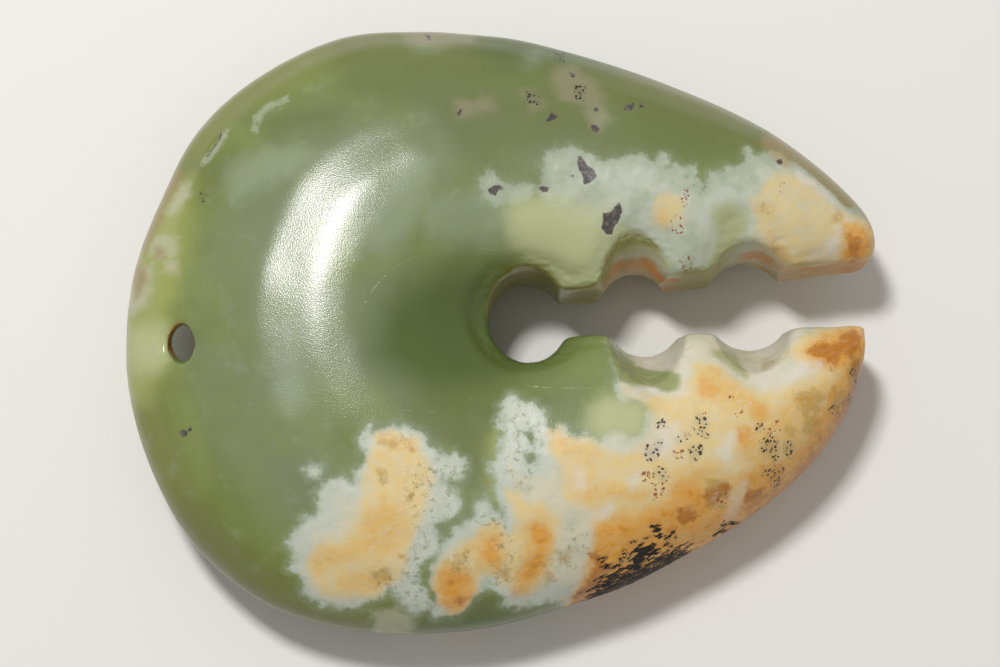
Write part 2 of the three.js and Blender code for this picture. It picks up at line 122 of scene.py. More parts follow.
# Weathering, and painted shade along the rims and round the hole, as outlines on the front, with X
# and Y in turn in tenths of a millimetre. What is inside each has that finish.
OUTLINES = {
    # Painted shade, with some of the stone's deeper green: mostly along the rims, where the edges
    # fall into shade.
    "moss_and_shade": (
        (-207, 336, -101, 343, 155, 318, 331, 195, 272, 172, 258, 164, 219, 156, 193, 155,
         150, 172, 103, 176, 64, 182, 32, 164, -1, 146, -33, 149, -54, 185, -76, 216, -108, 226,
         -174, 238),
        (-102, -320, -64, -314, -32, -308, -1, -314, 42, -313, 77, -306, 107, -321, -1, -363,
         -108, -363),
        (-343, -195, -299, -238, -234, -291, -170, -312, -107, -322, -108, -385, -324, -342,
         -391, -212),
        (-109, -102, -64, -92, -1, -86, 42, -84, 58, -97, 42, -108, 4, -128, -3, -151, -19, -179,
         -40, -171, -63, -139, -101, -123),
        (-284, 221, -217, 231, -162, 227, -183, 197, -248, 189),
        (-327, 166, -286, 181, -270, 171, -289, 143, -312, 139),
    ),
    # Painted shade, with some of the stone's deeper green: the top and bottom rims, where the
    # edges fall into shade, and the hollow round the hole, which slopes away from the lamp.
    "dish_and_shade": (
        (-39, 347, -1, 346, 110, 324, 155, 297, 117, 284, 79, 285, 43, 288, 4, 286, -25, 299),
        (-81, -322, -43, -312, -1, -314, 64, -306, 107, -297, 150, -342, 64, -395, -82, -395),
        (-135, -25, -125, 5, -98, 31, -65, 48, -28, 57, 10, 59, 51, 51, 100, 35, 107, -3, 59, -49,
         14, -77, -32, -91, -76, -91, -112, -74, -137, -51),
    ),
    "mist": (
        (-297, 161, -257, 177, -215, 179, -195, 171, -214, 151, -255, 136, -279, 117, -300, 133),
        (-107, 173, -75, 162, -75, 118, -96, 79, -123, 57, -147, 69, -128, 106),
        (-236, -19, -211, -19, -201, -98, -220, -110, -235, -89),
        (26, 293, 41, 297, 43, 285, 30, 281),
        (99, 223, 112, 223, 117, 213, 107, 206),
        (-98, 310, -76, 314, -69, 298, -93, 295),
        (-90, 103, -60, 123, -15, 128, 23, 116, 29, 84, -1, 72, -48, 72, -81, 78),
    ),
    "haze": (
        (21, 117, 36, 122, 51, 122, 76, 117, 111, 107, 130, 88, 120, 67, 114, 50, 116, 35, 84, 30,
         65, 32, 49, 50, 34, 63, 21, 73, 13, 86, 12, 106),
        (101, -106, 111, -95, 126, -97, 147, -99, 155, -110, 151, -129, 136, -138, 119, -132,
         104, -136, 96, -121),
        (-396, -14, -365, -12, -360, -31, -367, -51, -390, -48, -400, -31),
    ),
    "lime": (
        (-339, 154, -338, 117, -341, 71, -348, 27, -359, -7, -360, -31, -364, -60, -382, -91,
         -407, -94, -442, -85, -444, 8, -421, 109, -389, 154),
        (-13, -139, -1, -128, 2, -201, -7, -199, -13, -181),
    ),
    "blush": (
        (61, 283, 81, 282, 106, 257, 112, 231, 108, 221, 90, 230, 67, 234, 56, 254),
        (92, 220, 110, 223, 117, 211, 107, 199, 96, 206),
        (25, 243, 38, 244, 45, 229, 32, 223),
        (-108, 332, -34, 338, -29, 313, -67, 304, -100, 307),
        (-48, 231, -11, 235, -9, 220, -41, 213),
    ),
    "rind": (
        (-362, 135, -351, 150, -338, 149, -337, 134, -348, 122, -360, 115, -366, 124),
        (-383, 84, -376, 94, -361, 93, -348, 86, -345, 70, -354, 64, -369, 66, -379, 71),
        (-363, 61, -349, 61, -349, 47, -363, 49),
        (-394, 65, -379, 64, -377, 31, -384, 17, -399, 9, -414, 16, -411, 48),
        (-138, -314, -108, -311, -90, -318, -97, -334, -134, -336),
    ),
    "bark": (
        (280, 193, 286, 184, 301, 171, 320, 155, 346, 131, 368, 113, 390, 101, 425, 105, 437, 157,
         364, 217, 309, 225),
        (-350, 167, -351, 152, -360, 134, -369, 122, -372, 105, -381, 93, -388, 80, -401, 79,
         -431, 80, -410, 142, -379, 184),
        (-403, 73, -387, 63, -385, 45, -390, 27, -400, 27, -406, 52),
        (-378, 80, -365, 77, -364, 68, -376, 70),
    ),
    "scuff": (
        (-270, 204, -268, 221, -258, 232, -245, 239, -231, 243, -231, 236, -244, 231, -255, 223,
         -263, 210, -263, 198),
        (-327, 168, -323, 179, -314, 188, -304, 206, -295, 211, -299, 198, -307, 182, -318, 169),
    ),
    "chalk": (
        (-144, -152, -146, -144, -145, -136, -140, -130, -137, -124, -133, -129, -127, -130,
         -122, -128, -113, -126, -107, -125, -102, -122, -95, -125, -88, -129, -82, -132,
         -77, -140, -72, -145, -66, -150, -62, -155, -55, -155, -48, -152, -42, -157, -37, -160,
         -36, -168, -39, -177, -44, -181, -53, -181, -57, -183, -51, -187, -46, -191, -44, -198,
         -40, -205, -44, -214, -51, -221, -57, -221, -62, -222, -66, -226, -65, -232, -67, -239,
         -62, -248, -65, -256, -72, -261, -78, -263, -83, -269, -84, -279, -84, -287, -77, -291,
         -74, -297, -70, -306, -77, -314, -85, -315, -94, -314, -102, -309, -106, -303, -108, -297,
         -114, -295, -123, -296, -131, -301, -140, -304, -149, -308, -160, -312, -170, -311,
         -181, -308, -192, -309, -194, -304, -202, -300, -208, -294, -209, -286, -211, -276,
         -219, -273, -224, -272, -219, -262, -220, -252, -223, -242, -219, -234, -210, -228,
         -209, -222, -202, -218, -194, -217, -188, -212, -192, -201, -194, -195, -188, -188,
         -180, -182, -174, -178, -163, -178, -155, -183, -151, -180, -151, -171, -144, -165,
         -142, -159),
        (-205, -169, -197, -166, -188, -168, -184, -173, -190, -179, -199, -177),
        (3, -95, 8, -91, 14, -88, 21, -92, 25, -97, 31, -96, 36, -99, 38, -105, 45, -107, 46, -115,
         48, -121, 54, -127, 61, -124, 68, -124, 73, -132, 79, -133, 88, -131, 96, -133, 104, -138,
         108, -132, 114, -126, 121, -124, 128, -129, 134, -135, 140, -134, 148, -129, 154, -119,
         154, -106, 147, -97, 137, -93, 128, -97, 124, -91, 122, -77, 122, -64, 119, -48, 115, -26,
         118, -6, 158, 22, 292, 36, 433, 27, 435, -104, 347, -234, 215, -342, 64, -342, 68, -308,
         59, -304, 51, -303, 42, -307, 29, -307, 21, -309, 8, -308, 2, -304, 1, -298, -7, -294,
         -12, -288, -20, -290, -26, -298, -32, -306, -39, -314, -47, -318, -60, -318, -69, -322,
         -75, -316, -73, -309, -67, -303, -73, -293, -74, -283, -73, -273, -70, -265, -65, -255,
         -63, -249, -59, -242, -53, -238, -51, -230, -42, -226, -36, -222, -28, -218, -28, -210,
         -23, -201, -15, -198, -9, -199, -8, -210, -3, -216, 2, -218, 4, -210, -3, -201, -7, -193,
         -7, -181, -11, -168, -13, -162, -7, -158, -1, -145, 2, -130, -3, -117, -1, -106),
        (43, 164, 48, 173, 58, 177, 70, 180, 83, 178, 94, 173, 102, 167, 113, 165, 124, 166,
         137, 171, 148, 173, 154, 169, 161, 166, 167, 164, 173, 173, 180, 170, 177, 159, 184, 157,
         191, 163, 197, 155, 198, 149, 204, 158, 210, 159, 213, 149, 218, 139, 221, 147, 225, 157,
         234, 154, 245, 162, 254, 160, 261, 167, 264, 182, 271, 185, 277, 178, 286, 181, 295, 183,
         310, 177, 326, 168, 342, 154, 357, 141, 370, 129, 382, 122, 401, 122, 425, 119, 443, 46,
         292, 40, 179, 39, 112, 33, 105, 36, 101, 56, 92, 74, 81, 90, 68, 102, 55, 110, 44, 116,
         38, 129, 44, 142),
        (-22, 141, -15, 150, -5, 146, 6, 139, 25, 140, 36, 136, 32, 121, 12, 116, -5, 114,
         -18, 120),
    ),
    "olive": (
        (113, -18, 122, -30, 132, -31, 143, -42, 155, -59, 166, -76, 156, -78, 147, -79, 137, -77,
         126, -73, 121, -57, 115, -36),
        (149, -49, 163, -56, 177, -57, 190, -63, 192, -70, 188, -81, 179, -87, 171, -83, 158, -78,
         148, -75),
        (225, -38, 237, -34, 254, -33, 259, -48, 263, -69, 255, -65, 244, -56, 232, -49),
        (111, 58, 120, 80, 130, 95, 145, 91, 161, 79, 176, 67, 185, 58, 179, 54, 164, 70, 151, 78,
         136, 76, 126, 65, 118, 49),
        (228, 109, 234, 119, 249, 122, 262, 113, 268, 101, 262, 87, 253, 75, 247, 66, 238, 52,
         231, 50, 220, 50, 222, 54, 229, 74, 233, 88),
    ),
    "gap": (
        (26, -132, 31, -129, 35, -132, 38, -138, 34, -143, 29, -141),
        (27, -154, 32, -152, 37, -155, 36, -160, 30, -160),
        (-63, -232, -57, -224, -46, -221, -40, -217, -32, -208, -32, -216, -42, -224, -53, -230,
         -56, -238, -61, -242),
    ),
    "mossy": (
        (6, -99, 21, -95, 37, -108, 48, -128, 41, -160, 31, -191, 8, -181, -1, -139),
        (-96, -171, -84, -161, -67, -158, -57, -162, -42, -160, -38, -175, -51, -187, -44, -202,
         -51, -218, -65, -226, -67, -251, -80, -263, -85, -283, -72, -307, -96, -311, -114, -293,
         -107, -275, -95, -259, -92, -232, -101, -202),
        (12, -164, 25, -164, 27, -185, 20, -191, 12, -183),
        (-26, -201, -11, -199, -1, -218, 12, -232, 20, -262, 12, -282, -1, -292, -17, -284,
         -5, -262, -9, -238, -28, -222),
        (69, -229, 85, -225, 94, -241, 88, -261, 76, -275, 63, -267, 60, -250, 69, -241),
        (-55, -253, -32, -252, -26, -269, -40, -277, -57, -271),
        (41, -258, 52, -260, 54, -273, 46, -274),
        (-135, -273, -118, -271, -110, -283, -114, -295, -129, -293),
        (199, 153, 214, 149, 225, 138, 214, 127, 199, 134),
    ),
    "cream": (
        (-132, -136, -122, -132, -105, -132, -92, -136, -84, -146, -76, -158, -71, -181, -78, -202,
         -84, -222, -94, -239, -97, -255, -101, -265, -105, -275, -114, -287, -125, -293,
         -142, -299, -165, -301, -184, -296, -198, -286, -205, -272, -204, -256, -191, -246,
         -170, -242, -155, -232, -149, -216, -146, -200, -140, -181, -138, -161, -134, -146),
        (-70, -275, -59, -261, -47, -250, -32, -240, -17, -228, -3, -226, 8, -238, 18, -222,
         10, -205, 8, -193, 18, -191, 33, -203, 48, -209, 60, -215, 62, -235, 56, -254, 50, -274,
         38, -290, 23, -296, 10, -290, -3, -282, -17, -274, -24, -286, -28, -298, -39, -310,
         -51, -314, -64, -305, -70, -291),
        (51, -130, 62, -125, 73, -134, 94, -136, 109, -144, 127, -151, 146, -146, 155, -138,
         159, -121, 160, -106, 153, -95, 147, -86, 160, -90, 177, -90, 194, -86, 203, -72,
         206, -56, 214, -52, 229, -56, 244, -68, 258, -79, 266, -85, 279, -85, 301, -78, 323, -70,
         332, -62, 321, -51, 307, -37, 319, -23, 340, -12, 368, -1, 433, 2, 435, -104, 347, -234,
         215, -342, 64, -342, 70, -306, 85, -292, 95, -271, 101, -249, 98, -229, 94, -215,
         83, -209, 69, -201, 64, -186, 66, -170, 58, -157, 50, -145),
        (165, 124, 180, 131, 197, 125, 199, 108, 195, 96, 178, 93, 165, 103),
        (271, 124, 284, 142, 298, 159, 313, 158, 338, 148, 361, 124, 381, 108, 415, 112, 432, 46,
         336, 49, 301, 66, 284, 77, 275, 91),
        (-398, 143, -378, 154, -374, 121, -390, 94, -394, 58, -394, 24, -430, 30, -437, 97),
    ),
    "ochre": (
        (-124, -138, -113, -134, -97, -138, -90, -146, -96, -150, -113, -150),
        (-138, -212, -123, -200, -107, -206, -96, -222, -101, -241, -113, -253, -139, -257,
         -168, -262, -192, -274, -198, -262, -187, -252, -162, -250, -142, -236),
        (-169, -280, -147, -275, -126, -273, -116, -281, -127, -291, -148, -297, -165, -294),
        (-68, -277, -57, -267, -42, -269, -30, -279, -26, -290, -34, -302, -47, -314, -60, -303,
         -68, -291),
        (-34, -250, -19, -236, -5, -230, 4, -246, 4, -262, -7, -274, -24, -267),
        (25, -230, 39, -217, 52, -225, 58, -239, 52, -260, 46, -276, 33, -292, 14, -294, 14, -278,
         25, -258),
        (54, -132, 71, -134, 92, -140, 104, -151, 98, -161, 75, -157, 58, -149),
        (69, -184, 94, -180, 125, -186, 157, -192, 147, -204, 108, -200, 83, -201),
        (102, -221, 117, -212, 147, -206, 172, -195, 184, -175, 199, -162, 216, -160, 236, -167,
         251, -171, 258, -158, 251, -136, 257, -119, 274, -125, 285, -114, 301, -97, 318, -84,
         340, -74, 359, -65, 370, -53, 387, -37, 410, -22, 435, -104, 347, -234, 215, -342,
         64, -342, 70, -306, 85, -291, 97, -267, 101, -245),
        (208, -56, 225, -56, 243, -72, 262, -87, 279, -98, 292, -114, 277, -123, 257, -111,
         238, -96, 217, -86, 211, -72),
        (327, -37, 339, -20, 358, -9, 379, -4, 412, -3, 413, -72, 394, -66, 375, -53, 359, -58,
         339, -55),
        (370, 86, 374, 105, 395, 107, 418, 99, 420, 62, 404, 63, 377, 64, 364, 70),
        (290, 91, 302, 77, 322, 62, 357, 63, 398, 67, 402, 59, 336, 54, 307, 57, 293, 73),
        (167, 108, 175, 112, 182, 106, 178, 97, 167, 99),
        (133, -82, 147, -87, 164, -95, 172, -105, 160, -107, 145, -98, 132, -90),
        (361, 115, 370, 116, 370, 105, 361, 104),
    ),
    "amber": (
        (-67, -280, -57, -271, -45, -271, -34, -277, -30, -286, -34, -296, -32, -302, -41, -312,
         -51, -314, -60, -305, -67, -293),
        (35, -226, 48, -230, 54, -238, 50, -254, 44, -268, 40, -282, 31, -288, 25, -294, 16, -294,
         16, -284, 27, -272, 31, -254, 31, -238),
        (-15, -240, -5, -240, -1, -254, -3, -266, -15, -266, -21, -258),
        (102, -227, 117, -223, 147, -218, 168, -207, 176, -199, 189, -183, 206, -176, 215, -184,
         225, -205, 240, -203, 259, -188, 262, -172, 277, -160, 309, -155, 320, -139, 332, -122,
         341, -105, 347, -89, 356, -73, 368, -60, 387, -41, 410, -33, 435, -104, 347, -234,
         215, -342, 64, -342, 70, -306, 83, -293, 93, -273, 99, -253),
        (251, -126, 259, -126, 261, -142, 253, -149),
        (316, -88, 331, -85, 334, -94, 320, -96),
        (327, -39, 338, -27, 355, -20, 378, -7, 411, -6, 413, -72, 398, -68, 380, -56, 370, -53,
         347, -57, 330, -51),
        (372, 98, 386, 105, 397, 100, 404, 88, 402, 72, 391, 65, 376, 65, 369, 78),
        (213, -74, 226, -77, 234, -85, 224, -90, 213, -86),
        (266, -96, 279, -100, 285, -112, 274, -115),
    ),
    "rust": (
        (220, -241, 256, -217, 290, -187, 322, -158, 351, -125, 372, -89, 385, -59, 412, -54,
         405, -104, 370, -158, 314, -212, 248, -256),
        (329, -39, 340, -32, 350, -25, 363, -24, 369, -14, 380, -11, 390, -19, 389, -34, 375, -44,
         363, -47, 356, -56, 348, -50, 337, -44),
        (70, -307, 76, -297, 89, -287, 97, -271, 101, -261, 112, -259, 118, -266, 110, -284,
         96, -299, 81, -310),
        (94, -254, 105, -253, 109, -258, 99, -261),
        (-47, -299, -34, -298, -39, -306, -47, -306),
        (259, -186, 277, -183, 288, -189, 277, -200, 263, -203),
        (217, -188, 234, -179, 243, -185, 235, -195, 222, -202),
        (380, -46, 396, -44, 400, -62, 390, -68, 377, -59),
        (375, 90, 381, 94, 392, 87, 391, 71, 383, 65, 377, 76),
        (185, -211, 200, -206, 208, -218, 195, -224),
    ),
    "tan": (
        (291, 184, 320, 207, 437, 146, 436, 99, 408, 101, 396, 115, 382, 133, 367, 150, 350, 165,
         331, 172, 310, 165, 298, 167),
        (303, 63, 314, 60, 331, 63, 359, 63, 379, 65, 408, 73, 432, 46, 303, 44),
        (295, 85, 306, 76, 318, 62, 310, 57, 299, 69, 289, 79),
    ),
    "khaki": (
        (361, 120, 370, 118, 370, 105, 361, 106),
        (284, 122, 290, 118, 288, 110, 284, 114),
        (332, -112, 341, -115, 338, -127, 330, -122),
        (370, -47, 384, -37, 392, -59, 378, -71),
        (307, -118, 314, -123, 312, -134, 305, -128),
        (-126, -137, -111, -135, -109, -146, -119, -149, -126, -145),
        (-107, -136, -98, -136, -98, -142, -106, -143),
        (-94, -145, -87, -145, -87, -152, -93, -152),
        (-128, -169, -119, -167, -119, -183, -127, -188),
        (-101, -194, -92, -196, -93, -204, -99, -202),
        (-103, -258, -94, -258, -95, -266, -102, -266),
        (-137, -275, -122, -271, -114, -281, -118, -289, -131, -287),
        (59, -253, 75, -252, 73, -262, 61, -262),
        (47, -273, 59, -272, 59, -282, 49, -284),
        (-51, -256, -36, -255, -34, -271, -49, -271),
        (-1, -272, 8, -268, 8, -282, -1, -282),
        (287, -37, 295, -40, 289, -58, 280, -57),
        (318, -84, 336, -77, 347, -89, 341, -103, 325, -107, 314, -97),
        (354, -78, 368, -78, 368, -98, 355, -98),
        (217, -178, 234, -175, 245, -185, 242, -199, 222, -206, 213, -194),
        (324, -107, 339, -110, 333, -126, 321, -123),
    ),
    "bleach": (
        (157, -116, 170, -114, 185, -120, 189, -133, 182, -146, 172, -156, 157, -156, 150, -146,
         153, -131),
        (234, -132, 241, -126, 248, -130, 247, -145, 243, -159, 235, -161, 230, -147),
        (263, -63, 276, -60, 291, -56, 308, -56, 326, -49, 341, -53, 343, -59, 325, -69, 307, -76,
         292, -80, 279, -85, 267, -74),
        (109, -138, 126, -127, 147, -136, 142, -148, 121, -151, 106, -147),
        (153, -28, 179, -29, 203, -31, 213, -40, 204, -54, 197, -70, 196, -83, 179, -90, 158, -86,
         148, -77),
        (126, -77, 135, -82, 145, -84, 156, -93, 147, -98, 135, -93),
        (96, -214, 106, -205, 118, -202, 119, -209, 108, -218, 98, -221),
        (79, -170, 86, -172, 92, -182, 86, -190, 80, -186),
        (255, -179, 262, -180, 259, -196, 249, -209, 240, -213, 245, -200),
        (276, -21, 304, -16, 314, -7, 323, -8, 317, -23, 303, -39, 288, -43, 274, -36),
        (361, 102, 370, 96, 370, 82, 364, 72, 351, 68, 338, 69, 340, 75, 353, 79, 359, 89),
        (321, 164, 339, 156, 354, 143, 368, 125, 377, 110, 368, 113, 355, 128, 337, 141, 322, 151),
        (132, -178, 146, -171, 148, -182, 136, -188),
    ),
    "crust": (
        (85, -300, 96, -290, 106, -280, 114, -274, 125, -270, 138, -264, 153, -257, 170, -253,
         187, -246, 208, -244, 205, -252, 196, -262, 215, -342, 64, -342),
        (119, -274, 125, -264, 137, -260, 141, -248, 150, -241, 163, -239, 172, -245, 168, -253,
         159, -259, 149, -267, 134, -274),
        (161, -226, 167, -223, 173, -231, 171, -239, 165, -240),
        (171, -236, 184, -231, 185, -236, 174, -240),
        (172, -245, 180, -240, 181, -244, 174, -248),
        (105, -263, 111, -257, 115, -258, 112, -265),
        (229, -228, 240, -222, 249, -216, 256, -217, 248, -224, 237, -229),
    ),
    "sooty": (
        (153, -142, 159, -144, 163, -136, 170, -138, 168, -148, 164, -158, 155, -159, 150, -152),
        (162, -167, 174, -167, 176, -175, 170, -181, 161, -175),
        (207, -108, 214, -107, 220, -120, 217, -126, 208, -122, 205, -116),
        (193, -129, 198, -129, 198, -135, 193, -135),
        (199, -143, 212, -141, 213, -149, 206, -160, 199, -158),
        (185, -135, 190, -135, 190, -139, 185, -139),
        (203, -124, 214, -126, 221, -133, 210, -133),
        (283, -129, 290, -131, 297, -137, 296, -147, 293, -157, 282, -153, 275, -148, 275, -136),
        (279, -163, 287, -162, 287, -171, 279, -170),
        (291, -159, 303, -160, 303, -171, 296, -181, 288, -178, 290, -169),
        (299, -136, 312, -136, 314, -143, 309, -151, 300, -146),
        (270, -119, 277, -119, 277, -125, 270, -125),
        (373, -57, 381, -56, 384, -63, 374, -66),
        (382, -66, 392, -62, 391, -72, 382, -74),
        (374, -83, 381, -79, 383, -86, 375, -89),
        (352, -96, 361, -95, 361, -103, 353, -104),
        (164, -119, 173, -116, 174, -124, 165, -124),
        (122, -256, 131, -250, 141, -251, 141, -260, 127, -262),
        (173, -234, 185, -231, 187, -237, 176, -240),
        (135, -242, 143, -239, 144, -246, 136, -248),
        (80, 253, 92, 253, 90, 235, 82, 238),
        (59, 308, 71, 306, 70, 287, 61, 289),
        (28, 243, 42, 239, 42, 229, 30, 231),
        (-326, 137, -318, 133, -319, 124, -325, 126),
    ),
    "bloody": (
        (145, -169, 152, -169, 160, -175, 159, -181, 151, -181),
        (162, -181, 176, -175, 178, -187, 168, -197, 161, -198),
        (182, -150, 191, -148, 192, -156, 183, -158),
        (281, -117, 297, -114, 295, -125, 283, -129),
        (240, -87, 246, -90, 255, -105, 259, -115, 254, -115, 245, -98),
        (228, -192, 239, -189, 240, -201, 231, -201),
        (195, 134, 201, 134, 201, 117, 195, 116),
        (184, 106, 197, 106, 197, 90, 185, 89),
        (193, 64, 204, 66, 205, 54, 195, 54),
        (302, 145, 308, 146, 307, 134, 301, 134),
    ),
    "stain": (
        (83, 169, 86, 170, 90, 164, 93, 159, 98, 156, 103, 150, 102, 145, 98, 142, 94, 138,
         88, 138, 89, 145, 85, 153, 82, 160),
        (109, 108, 115, 109, 119, 109, 122, 115, 126, 119, 129, 118, 131, 111, 128, 104, 126, 99,
         122, 94, 120, 87, 114, 87, 108, 92, 110, 100),
        (-14, 132, -9, 135, -3, 137, 3, 134, 5, 132, -2, 131, -5, 125, -11, 126),
        (40, 133, 45, 137, 48, 135, 53, 135, 51, 130, 47, 129, 43, 131),
        (74, 148, 79, 149, 79, 146, 74, 145),
        (49, 209, 52, 214, 56, 219, 58, 215, 63, 217, 60, 212, 54, 208, 50, 207),
        (97, 205, 103, 206, 107, 201, 105, 196, 98, 198),
        (101, 226, 107, 225, 106, 221, 101, 222),
        (134, 228, 141, 234, 146, 234, 145, 228, 140, 223, 135, 224),
        (152, 234, 157, 233, 155, 228, 151, 229),
        (75, 273, 80, 272, 82, 266, 77, 263),
        (-47, 215, -44, 219, -40, 224, -41, 216, -45, 210),
        (-85, 330, -78, 322, -77, 313, -80, 314),
        (-321, 179, -318, 183, -313, 190, -308, 199, -305, 211, -304, 204, -309, 192, -314, 185,
         -317, 178),
        (-343, -125, -339, -122, -333, -124, -328, -120, -328, -124, -333, -128, -337, -132,
         -341, -129),
        (299, 172, 305, 175, 306, 169, 302, 164),
    ),
    "tawny": (
        (114, 37, 117, 55, 130, 73, 151, 80, 172, 70, 185, 55, 202, 48, 188, 43, 154, 51, 130, 42),
        (248, 42, 258, 71, 274, 81, 295, 75, 312, 58, 329, 50, 303, 66, 277, 72),
        (313, 48, 333, 60, 374, 64, 408, 73, 422, 61, 336, 43),
        (-362, -15, -352, -5, -338, -7, -348, -7, -356, -16, -357, -33, -348, -55, -360, -43),
    ),
}
PATCH_REACH = 4.0  # fields stop growing this far from an outline
WEIGHT_STEPS = 20  # how finely a modifier's weights are told apart
WALL_REACH = 8.5  # the slot's walls lie this near to its middle
EDGE_SECTORS = 120  # how finely the outer edge is followed round
WANDER, WANDER_SIZE = 5.0, 11.0  # how far and how finely the patches wander on the back
WANDER_SEED = 1796065681  # so that they wander the same way in each run
FRONT_FIELDS = ("blush", "stain", "sooty", "bloody", "scuff")
UNDER_LOSS = 3.0  # what these lose on the underside
# Faint layers in the fresh stone, the moss and dish layers among them being mostly painted shade
# along the rims and round the hole: outlines, swing and size of the edge's lobes, softness of the
# edge, and how well the layer covers.
FAINT_LAYERS = (
    ("moss_and_shade", 0.6, 5.0, 2.4, 0.65),
    ("dish_and_shade", 0.4, 6.0, 3.2, 0.97),
    ("mist", 0.9, 4.0, 1.6, 0.34),
    ("lime", 0.6, 3.4, 2.0, 0.9),
    ("haze", 0.6, 3.4, 2.0, 0.97),
    ("blush", 0.7, 2.4, 1.0, 0.5),
    ("rind", 0.6, 1.6, 0.7, 0.65),
    ("bark", 0.6, 1.6, 0.7, 0.75),
    ("scuff", 0.5, 0.6, 0.3, 0.4),
)
# Stains of the weathered stone, in the same columns.
STAIN_LAYERS = (
    ("cream", 0.7, 2.2, 0.7, 0.95),
    ("ochre", 0.8, 2.6, 0.9, 0.85),
    ("amber", 0.8, 2.0, 0.8, 0.85),
    ("tan", 0.7, 2.0, 0.7, 0.7),
    ("khaki", 0.8, 1.0, 0.35, 0.6),
    ("bleach", 0.7, 1.8, 0.8, 0.8),
    ("rust", 0.8, 1.1, 0.4, 0.85),
)
BROAD_STAINS = ("cream", "ochre")  # these cover less on the upper jaw
SEED_STEP, FIRST_STAIN_SEED = 7.0, 90.0  # these keep the layers' edges unlike each other
DRAWN_TURN = 27  # degrees by which streaks and crust run off X

# Ground-in knocks on the front: x, y, half length, half breadth, turn in degrees, depth.
KNOCKS = (
    (-31.2, 19.4, 1.9, 0.45, 55, 0.22),
    (-24.6, 22.6, 2.6, 0.5, 42, 0.1),
    (8.9, 15.2, 1.6, 0.6, -50, 0.12),
    (12.0, 10.3, 1.7, 0.8, 50, 0.14),
    (-34.0, -12.5, 0.7, 0.45, 10, 0.08),
    (10.0, 20.2, 0.9, 0.6, 0, 0.12),
    (5.4, 21.1, 0.9, 0.4, 30, 0.1),
    (14.0, 22.9, 0.8, 0.4, 0, 0.1),
    (23.9, -7.0, 1.4, 0.4, -50, 0.06),
    (-21.4, -13.6, 0.4, 0.3, 0, 0.08),
)
# Fine arcs that polishing left: centre x, centre y, radius, middle x, middle y, half length.
SCRATCHES = (
    (-4.8, -3.7, 10.4, -12.3, 3.5, 5.0),
    (-7.6, 4.8, 15.8, -8.0, -10.9, 3.4),
    (8.0, 40.0, 48.2, 6.4, -8.3, 4.4),
    (0.0, 40.0, 32.9, -1.4, 7.1, 1.3),
    (4.0, 22.0, 15.4, 10.0, 8.2, 1.4),
)

# The stage, in metres and degrees, but for what the camera looks at.
FLOOR_SIZE = 4
KEY_AZIMUTH, KEY_ELEVATION, KEY_ROLL = 122.8, 68.8, 23
KEY_DISTANCE = 0.45
KEY_SIZE = (0.06, 0.07)
AIM = (-0.05, -0.72, 8.8)


def paint(code):
    """A screen colour such as 0x808D59 as Blender's linear one."""
    channels = [(code >> shift & 255) / 255 for shift in (16, 8, 0)]
    return [c / 12.92 if c <= 0.04045 else ((c + 0.055) / 1.055) ** 2.4 for c in channels]


def colour_property(name, code, description):
    """A colour to choose in the panel."""
    return bpy.props.FloatVectorProperty(
        name=name,
        description=description,
        default=paint(code),
        min=0,
        max=1,
        size=3,
        subtype="COLOR",
    )


def count_property(name, default, description):
    """A number of rounds to choose in the panel."""
    return bpy.props.IntProperty(name=name, description=description, default=default, min=0)


def length_property(name, default, description):
    """A length in metres to choose in the panel."""
    return bpy.props.FloatProperty(
        name=name,
        description=description,
        default=default,
        min=0,
        precision=5,
        subtype="DISTANCE",
        unit="LENGTH",
    )


class CarvingSizes(bpy.types.PropertyGroup):
    """How finely the stone is worked."""

    grid: length_property("Skin grid", 0.34 * MM, "Spacing of the grid that rebuilds the skin")
    ripple: length_property("Grinding ripple", 0.12 * MM, "Depth of the waves that grinding left")
    chips: length_property("Chips", 0.32 * MM, "Depth of the chips round the hole and the teeth")
    crust: length_property("Crust", 0.3 * MM, "Depth of the pits in the black crust")
    pits: length_property("Pits", 0.1 * MM, "Depth of the pits in the weathered stone")
    flare: length_property("Flare", 0.45 * MM, "How far the front sinks towards the cuts")
    face_rounds: count_property("Face rounds", 90, "How often the ground faces are eased")
    edge_rounds: count_property("Edge rounds", 5, "How often all edges are eased")
    brow_rounds: count_property("Brow rounds", 40, "How often the cuts' front edges are eased")
    kept: bpy.props.FloatProperty(
        name="Kept",
        description="Share of all faces that stay as the underside is thinned",
        default=0.7,
        min=0,
        max=1,
        subtype="FACTOR",
    )


